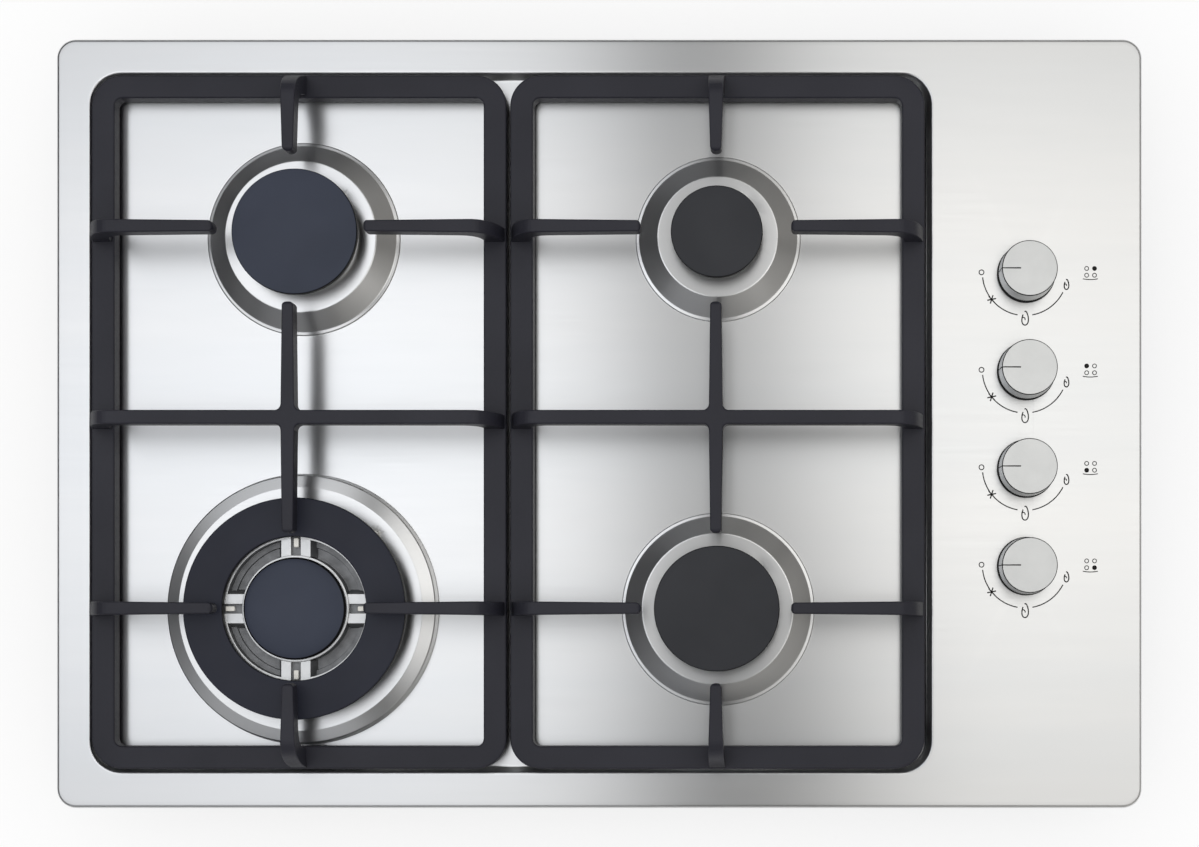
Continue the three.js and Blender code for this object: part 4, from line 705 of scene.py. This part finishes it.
def spark_tips(size, x, y):
    """Four glazed tips with round edges, one at the outer end of each groove of the wok burner's spokes."""
    section = rounded_rectangle(6.0, 3.2, 0.7, 4, (size["cap_hole"] - HOLE_GAP - 2.4, 0.0))
    middle = section.mean(0)

    def outline(inset):
        """The tip's plan, made smaller about its middle."""
        return middle + (section - middle) * (1 - inset / 1.6)

    points, faces = drawn_round(outline, [(0.0, CROWN_TOP - GROOVE_DEPTH), (0.0, CROWN_TOP - 1.1),
                                          (0.15, CROWN_TOP - 0.85), (0.5, CROWN_TOP - 0.75)])
    count, last = len(section), len(points) - len(section)
    tip = points, faces + [tuple(range(count))[::-1], tuple(range(last, last + count))]
    return moved(joined(*[moved(tip, turn=turn) for turn in QUARTERS]), x=x, y=y)


def painted_band_by_height(made, second, high, low=0.0):
    """Gives the second material, which carries painted shade or a painted dark reflection, to every face whose middle
    lies between two heights.
    """
    made.data.materials.append(second)
    for face in made.data.polygons:
        face.material_index = int(low * MM < face.center.z < high * MM)


def ring_cap(size, x, y):
    """The wok burner's ring cap: a flat enamelled ring with round edges and a locating ring below."""
    ring = size["crown"] - CROWN_WALL - RING_GAP
    cap, hole = size["cap"], size["cap_hole"]
    profile = [(ring - 2, CAP_BOTTOM), (ring - 2, CAP_BOTTOM - 2), (ring, CAP_BOTTOM - 2), (ring, CAP_BOTTOM),
               (cap, CAP_BOTTOM), (cap, CAP_TOP - 0.1), ((cap + hole) / 2, CAP_TOP), (hole, CAP_TOP - 0.1),
               (hole, CAP_BOTTOM), (ring - 2, CAP_BOTTOM)]
    soft = softened(profile, [0.4, 0.4, 0.4, 0.5, 1.0, 200, 1.0, 0.5], 5)[:-1]
    return turned(soft, 160, (x, y))


def inner_cap(size, x, y):
    """The wok burner's inner cap: a low dome that falls away towards its edge, with a step at the rim."""
    rim, seat = size["inner_cap"], CROWN_TOP + 1.5
    ring = size["inner_crown"] - INNER_STEP - CROWN_WALL - RING_GAP
    r = np.linspace(0, 1, 14)[:, None]
    dome = np.column_stack([r * (rim - 1.2), seat + 5.1 - 2.2 * r**4])
    lower = softened([(rim - 1.2, seat + 2.9), (rim, seat + 1.7), (rim, seat), (ring, seat), (ring, CROWN_TOP - 2.5),
                      (ring - 2, CROWN_TOP - 2.5), (ring - 2, seat + 1.4), (0, seat + 1.4)],
                     [0.8, 0.5, 0.5, 0.5, 0.5, 0.6], 4)
    return turned(np.vstack([dome, lower[1:]]), 128, (x, y), close=False)


def electrode_shells(size, x, y):
    """A spark electrode: a glazed stem with a collar under the plate, and a round steel pin out of its top."""
    ex, ey = electrode_place(x, y, size)
    top, collar = CROWN_TOP - 3, PLATFORM_TOP - SHEET - 0.3
    stem = softened([(0, top - 21), (2, top - 21), (2, collar - 4), (3.6, collar - 3), (3.6, collar), (2, collar),
                     (2, top - 2), (0, top - 2)], [0.4, 0.3, 0.4, 0.4, 0.3, 0.7], 4)
    pin = softened([(0, top - 26), (0.8, top - 26), (0.8, top), (0, top)], [0.2, 0.5], 4)
    return turned(stem, 32, (ex, ey), close=False), turned(pin, 20, (ex, ey), close=False)


for name, (x, y, size) in BURNERS.items():
    stem, pin = electrode_shells(size, x, y)
    make(f"{name}_electrode_stem", stem, porcelain, stands_for=[f"{name}_electrode"])
    make(f"{name}_electrode_pin", pin, drawn_aluminium)
    if size is WOK:
        twin = make(f"{name}_twin_head", wok_head(size, x, y), cast_aluminium, f"{name}_head",
                    [f"{name}_burner_head"], crease=25)
        # the wells below the machined faces take the darker as-cast metal, which is partly painted shade.
        painted_band_by_height(twin, cast_well_and_painted_shade, CROWN_TOP - 2.9)
        make(f"{name}_spark_tips", spark_tips(size, x, y), porcelain, f"{name}_head")
        # the ring cap's blue cast is a painted reflection of cool light from the left.
        ring = make(f"{name}_ring_cap_enamelled", ring_cap(size, x, y), ring_enamel, f"{name}_ring",
                    [f"{name}_ring_cap"])
        # the ring's round edges, sides and underside are painted near black as painted shade.
        painted_band_by_height(ring, painted_edge_shade_enamel, CAP_TOP - 0.45)
        inner = make(f"{name}_inner_cap_enamelled", inner_cap(size, x, y), cap_enamel, f"{name}_inner",
                     [f"{name}_inner_cap"])
        # the inner cap's outer edge, side and underside are painted near black as painted shade.
        painted_band_by_height(inner, painted_edge_shade_enamel, CROWN_TOP + 4.3)
    else:
        make(f"{name}_slotted_head", head_shell(size, x, y), cast_aluminium, f"{name}_head",
             [f"{name}_burner_head"], crease=25)
        # the left caps take the blue-black copy of the enamel, a painted reflection of cool light; the right caps
        # take the grey one.
        cap = make(f"{name}_cap_enamelled", cap_shell(size, x, y), cap_enamel if x < 0 else grey_cap_enamel,
                   f"{name}_cap", [f"{name}_burner_cap"])
        # the cap's round edge, side and underside are painted near black as painted shade.
        painted_band_by_height(cap, painted_edge_shade_enamel, CAP_TOP - 0.75)

# ------------------------------------------------------------------ knobs, seals and their signs


def knob_shell(y):
    """A turned knob with a bevelled rim. Its side carries fine upright flutes: the radius falls with a cosine."""
    k = KNOB
    profile = softened([(0, k["top"] - 0.05), (k["top_radius"] - 0.55, k["top"] - 0.05),
                        (k["top_radius"], k["top"] - 0.6),
                        (k["radius"], k["bottom"]), (k["radius"] - 2, k["bottom"]), (k["radius"] - 2, k["roof"]),
                        (k["hub"], k["roof"]), (k["hub"], k["hub_bottom"]), (3.3, k["hub_bottom"]),
                        (3.3, k["roof"]), (0, k["roof"])],
                       [0.2, 0.3, 0.4, 0.4, 0.8, 0.8, 0.4, 0.4, 0.4], 4)
    count = 480
    a = np.arange(count) * 2 * np.pi / count
    on_side = ((profile[:, 0] > k["top_radius"] - 0.1) & (profile[:, 1] < k["top"] - 1.8)).astype(float)
    r = profile[:, :1] - FLUTE_DEPTH * on_side[:, None] * (1 - np.cos(FLUTES * a))
    points = np.stack([KNOB_X + r * np.cos(a), y + r * np.sin(a), np.broadcast_to(profile[:, 1:], r.shape)], -1)
    return points.reshape(-1, 3), cells(len(profile), count)


def seal_shell(y):
    """The seal: a thin flange on the plate with a raised collar inside the knob's skirt."""
    low, top = RIM_TOP + 0.3, RIM_TOP + 5.3
    profile = np.array([(3.6, low), (19.2, low), (19.4, low + 0.25), (19.3, low + 0.7), (19.0, low + 0.9),
                        (16.6, low + 0.9), (16.2, low + 1.3), (16.2, top - 0.5), (15.7, top), (3.6, top)])
    return turned(profile, 96, (KNOB_X, y))


def pointer_line(y):
    """The pointer: a narrow strip over the knob's side, bevel and top, 0.03 mm proud, wider at its inner end."""
    k = KNOB
    line = softened([(k["radius"] - 0.02, k["bottom"] + 1.5), (k["top_radius"] + 0.05, k["top"] - 0.6),
                     (k["top_radius"] - 0.55, k["top"] - 0.02), (5.8, k["top"] - 0.02)], [0.2, 0.2], 4)
    width = np.where(line[:, 0] < 6.5, 0.45, 0.34)[:, None]
    across = np.array([-1.0, 1.0])[None] * width
    r = line[:, :1] + 0.04 * (line[:, 1:] < k["top"])
    points = np.stack([KNOB_X - r + 0 * across, y + across, line[:, 1:] + 0 * across], -1)
    return points.reshape(-1, 3), cells(len(line), 2, close_columns=False)


def stroke(path, width, closed=False):
    """A line of even width: each point of the path is set off to both sides along the path's normal."""
    p = np.asarray(path, float)
    ahead, behind = np.roll(p, -1, 0), np.roll(p, 1, 0)
    if not closed:
        ahead[-1], behind[0] = p[-1], p[0]
    t = ahead - behind
    n = np.stack([-t[:, 1], t[:, 0]], -1) / np.linalg.norm(t, axis=1)[:, None]
    points = np.stack([p + n * width / 2, p - n * width / 2], 1).reshape(-1, 2)
    points = np.column_stack([points, np.full(len(points), INK_TOP)])
    return points, cells(len(p), 2, close_rows=closed, close_columns=False)


def around(radius, start, end, count=24):
    """Points of an arc about the knob, in degrees."""
    a = np.radians(np.linspace(start, end, count))
    return np.stack([radius * np.cos(a), radius * np.sin(a)], -1)


def disc(radius, middle):
    """A filled dot: a fan of triangles about its middle."""
    rim = circle(radius, 24, middle)
    points = np.column_stack([np.vstack([rim, [middle]]), np.full(25, INK_TOP)])
    return points, [(i, (i + 1) % 24, 24) for i in range(24)]


def flame(width, height, middle):
    """A flame sign: a drop drawn with a leaning tip, open at its upper left, with a small inner tongue."""
    t = np.linspace(0, 1, 30)
    a = np.radians(112 - 360 * t * 0.9)
    lean = 0.5 * (1 + np.sin(a))
    x = width / 2 * np.cos(a) * (1 - 0.45 * lean) + 0.06 * width * lean
    z = height / 2 * np.sin(a)
    outline = np.stack([x, z], -1) + middle
    tongue = bezier((-0.42 * width, 0.02 * height), (-0.1 * width, 0.12 * height), (0.05 * width, 0.0),
                    (0.02 * width, -0.14 * height), 8) + middle
    return [stroke(outline, 0.8), stroke(tongue, 0.7)]


def dial_signs(y, lit):
    """A dial: off ring, arc with a spark star, large and small flames, and the sign of the burner it serves."""
    r = DIAL_RADIUS
    parts = [stroke(around(1.6, 0, 345, 24) + [-r - 0.6, 0.4], 0.65, closed=True),
             stroke(around(r, 186, 214), 0.75), stroke(around(r, 222, 260), 0.75),
             stroke(around(r, 280, 333), 0.75)]
    star = r * np.array([math.cos(math.radians(218.5)), math.sin(math.radians(218.5))])
    for turn in (0, 60, 120):
        ray = np.array([math.cos(math.radians(turn + 12)), math.sin(math.radians(turn + 12))]) * 3.0
        parts.append(stroke([star - ray, star, star + ray], 0.85))
    parts += flame(5.4, 9.2, np.array([0.0, -30.0]))
    small = (r + 0.3) * np.array([math.cos(math.radians(344.4)), math.sin(math.radians(344.4))])
    parts += flame(3.8, 6.6, small)
    for i, (dx, dy) in enumerate(((1, 1), (-1, 1), (-1, -1), (1, -1))):
        middle = np.array([43.5 + dx * 2.6, 0.7 + dy * 2.25])
        parts.append(stroke(circle(1.3, 20, middle), 0.55, closed=True))
        if i == lit:
            parts.append(disc(1.4, tuple(middle)))
    t = np.linspace(-1, 1, 14)
    parts.append(stroke(np.stack([43.3 + 5.0 * t, -3.9 - 0.5 * (1 - t**2)], -1), 0.6))
    return moved(joined(*parts), x=KNOB_X - 0.8, y=y + 0.55)


for row, (name, y) in enumerate(KNOB_Y.items()):
    knob = make(f"{name}_knob_turned", knob_shell(y), satin_chrome, f"{name}_control", [f"{name}_knob"])
    # the bevel round the knob's top is painted dark, a painted reflection that draws a thin outline.
    painted_band_by_height(knob, chrome_bevel_painted_dark, KNOB["top"] - 0.07, KNOB["top"] - 0.75)
    make(f"{name}_seal_moulded", seal_shell(y), black_rubber, stands_for=[f"{name}_knob_seal"])
    make(f"{name}_pointer", pointer_line(y), ink, f"{name}_control", thickness=0.02)
    signs = bare_mesh(dial_signs(y, row))
    facing_up(signs)
    make(f"{name}_dial_signs", signs, ink, thickness=0.02)

# ------------------------------------------------------------------ CAD nodes that stay, with their real finishes

FINISH_BY_SLOT = {
    "brushed_steel": stainless, "galvanised_steel": galvanised, "cast_enamel": cast_enamel,
    "cap_enamel": cap_enamel, "die_cast_aluminium": cast_aluminium, "knob_metal": satin_chrome,
    "black_rubber": black_rubber, "brass": turned_brass, "black_plastic": black_nylon, "porcelain": porcelain,
}
OWN_FINISH = {"worktop_gasket": foam, "supply_tube": drawn_aluminium}
for entry in frame["record"]["subparts"]:
    cad = frame["nodes"][entry["node"]]
    own = [material for ending, material in OWN_FINISH.items() if entry["node"].endswith(ending)]
    chosen = own[0] if own else FINISH_BY_SLOT.get(entry.get("material"), galvanised)
    cad.data.materials.clear()
    cad.data.materials.append(chosen)

# ------------------------------------------------------------------ floor, light and camera


def glowing(name, cool, warm, strength_of):
    """A glow whose strength comes from a function of the tree and the place, and turns warm to the right."""
    material = bpy.data.materials.new(name)
    material.use_nodes = True
    tree = material.node_tree
    tree.nodes.remove(tree.nodes["Principled BSDF"])
    place = node(tree, "ShaderNodeTexCoord").outputs["Object"]
    strength = strength_of(tree, place)
    across = node(tree, "ShaderNodeSeparateXYZ", [("Vector", place)]).outputs["X"]
    to_right = node(tree, "ShaderNodeMapRange", [("Value", across), ("From Min", -0.5), ("From Max", 0.4)]).outputs[0]
    glow = node(tree, "ShaderNodeEmission", [("Color", blended(tree, to_right, cool, warm)), ("Strength", strength)])
    tree.links.new(glow.outputs[0], tree.nodes["Material Output"].inputs["Surface"])
    return material


def arithmetic(tree, operation, first, second=0.0):
    """One step of arithmetic on two values."""
    return node(tree, "ShaderNodeMath", [(0, first), (1, second)], operation=operation).outputs[0]


def swell(tree, value, middle, width):
    """A bell over the value: e to the power of minus the square of its distance from the middle in widths."""
    off = arithmetic(tree, "DIVIDE", arithmetic(tree, "SUBTRACT", value, middle), width)
    square = arithmetic(tree, "MULTIPLY", off, off)
    return arithmetic(tree, "EXPONENT", arithmetic(tree, "MULTIPLY", square, -1.0))


def stepped(tree, value, start, end):
    """0 before the start, 1 after the end, and a straight run between."""
    return node(tree, "ShaderNodeMapRange", [("Value", value), ("From Min", start), ("From Max", end)]).outputs[0]


def shaded(tree, light, depth, *bells):
    """The light less a share of it: depth times the product of the bells."""
    dark = depth
    for bell in bells:
        dark = arithmetic(tree, "MULTIPLY", bell, dark)
    return arithmetic(tree, "MULTIPLY", light, arithmetic(tree, "SUBTRACT", 1.0, dark))


def ceiling_light(tree, place):
    """A bell along Y, weaker at both sides, under the shade of a camera rail that is wider at the front and back.

    A shade's numbers are its depth, then its middle and width across X and the run over which it comes in, in metres
    on the ceiling. They are set so that the steel's brightness follows the photograph's.
    """
    split = node(tree, "ShaderNodeSeparateXYZ", [("Vector", place)])
    x, y = split.outputs["X"], split.outputs["Y"]
    light = arithmetic(tree, "MULTIPLY", swell(tree, y, 0.172, 0.896), 1.7)
    light = shaded(tree, light, 0.207, stepped(tree, x, -0.5, -1.2))
    light = shaded(tree, light, 0.12, stepped(tree, x, 0.2, 0.6))
    light = shaded(tree, light, 0.86, swell(tree, x, 0.005, 0.096))
    light = shaded(tree, light, 0.98, swell(tree, x, 0.105, 0.14), stepped(tree, y, 0.14, -0.16))
    return shaded(tree, light, 0.97, swell(tree, x, -0.035, 0.117), stepped(tree, y, 0.48, 0.76))


def stage_piece(name, points, faces, material):
    """A piece of the studio, seen only in reflections."""
    mesh = bpy.data.meshes.new(name)
    mesh.from_pydata(points, [], faces)
    mesh.materials.append(material)
    made = bpy.data.objects.new(name, mesh)
    bpy.context.scene.collection.objects.link(made)
    made.visible_camera = made.visible_diffuse = made.visible_shadow = False
    made.visible_transmission = made.visible_volume_scatter = False


def wall_light(tree, place):
    """Darker at the back left than at the front right."""
    along = node(tree, "ShaderNodeVectorMath", [(0, place), (1, (0.75, -0.66, 0.0))], operation="DOT_PRODUCT")
    return node(tree, "ShaderNodeMapRange", [("Value", along.outputs["Value"]), ("From Min", -WALL_RADIUS),
                                             ("From Max", WALL_RADIUS), ("To Min", 0.05),
                                             ("To Max", 0.34)]).outputs[0]


floor_mesh = bpy.data.meshes.new("studio_floor")
corners = [(x * FLOOR_HALF, y * FLOOR_HALF, FLOOR_Z) for x, y in ((-1, -1), (1, -1), (1, 1), (-1, 1))]
floor_mesh.from_pydata(corners, [], [(0, 1, 2, 3)])
floor_paint = finish("floor_painted_white", ("#FCFCFC", "#FFFFFF"), (0.9, 1.0), 400, 30, 0.0, Specular_IOR_Level=0.0)
floor_tree = floor_paint.node_tree
white = node(floor_tree, "ShaderNodeEmission", [("Color", (1.0, 1.0, 1.0, 1.0)), ("Strength", 1.0)])
to_camera = node(floor_tree, "ShaderNodeLightPath").outputs["Is Camera Ray"]
share = arithmetic(floor_tree, "MULTIPLY", to_camera, 0.7)
blend = node(floor_tree, "ShaderNodeMixShader", [(0, share), (1, floor_tree.nodes["Principled BSDF"].outputs[0]),
                                                 (2, white.outputs[0])])
floor_tree.links.new(blend.outputs[0], floor_tree.nodes["Material Output"].inputs["Surface"])
floor_mesh.materials.append(floor_paint)
floor = bpy.data.objects.new("studio_floor", floor_mesh)
bpy.context.scene.collection.objects.link(floor)

wall_rows = [np.column_stack([circle(WALL_RADIUS, 72), np.full(72, z)]) for z in (0.0, WALL_TOP)]
stage_piece("horizon_wall", np.concatenate(wall_rows).tolist(), cells(2, 72),
            glowing("studio_wall", "#FBFCFF", "#FFFCF6", wall_light))
ceiling = [(x, y, CEILING_Z) for x, y in ((-2.4, -2.0), (-2.4, 2.4), (2.2, 2.4), (2.2, -2.0))]
stage_piece("ceiling", ceiling, [(0, 1, 2, 3)], glowing("studio_ceiling", "#FAFCFF", "#FFFEFB", ceiling_light))

world = bpy.data.worlds.new("soft_white_studio")
bpy.context.scene.world = world
world.use_nodes = True
world.node_tree.nodes["Background"].inputs["Color"].default_value = (1, 1, 1, 1)
world.node_tree.nodes["Background"].inputs["Strength"].default_value = 1.0

camera_data = bpy.data.cameras.new("camera")
camera = bpy.data.objects.new("camera", camera_data)
bpy.context.scene.collection.objects.link(camera)
# It looks straight down, because the plate is square in the photograph. The shift brings the plate into frame.
camera.location = (0.125, -0.145, 1.357)
camera_data.sensor_width = 36.0
camera_data.lens = 58.9
camera_data.shift_x = -0.157
camera_data.shift_y = 0.1825
camera_data.clip_start, camera_data.clip_end = 0.01, 50
bpy.context.scene.camera = camera
bpy.context.scene.view_settings.view_transform = "Standard"
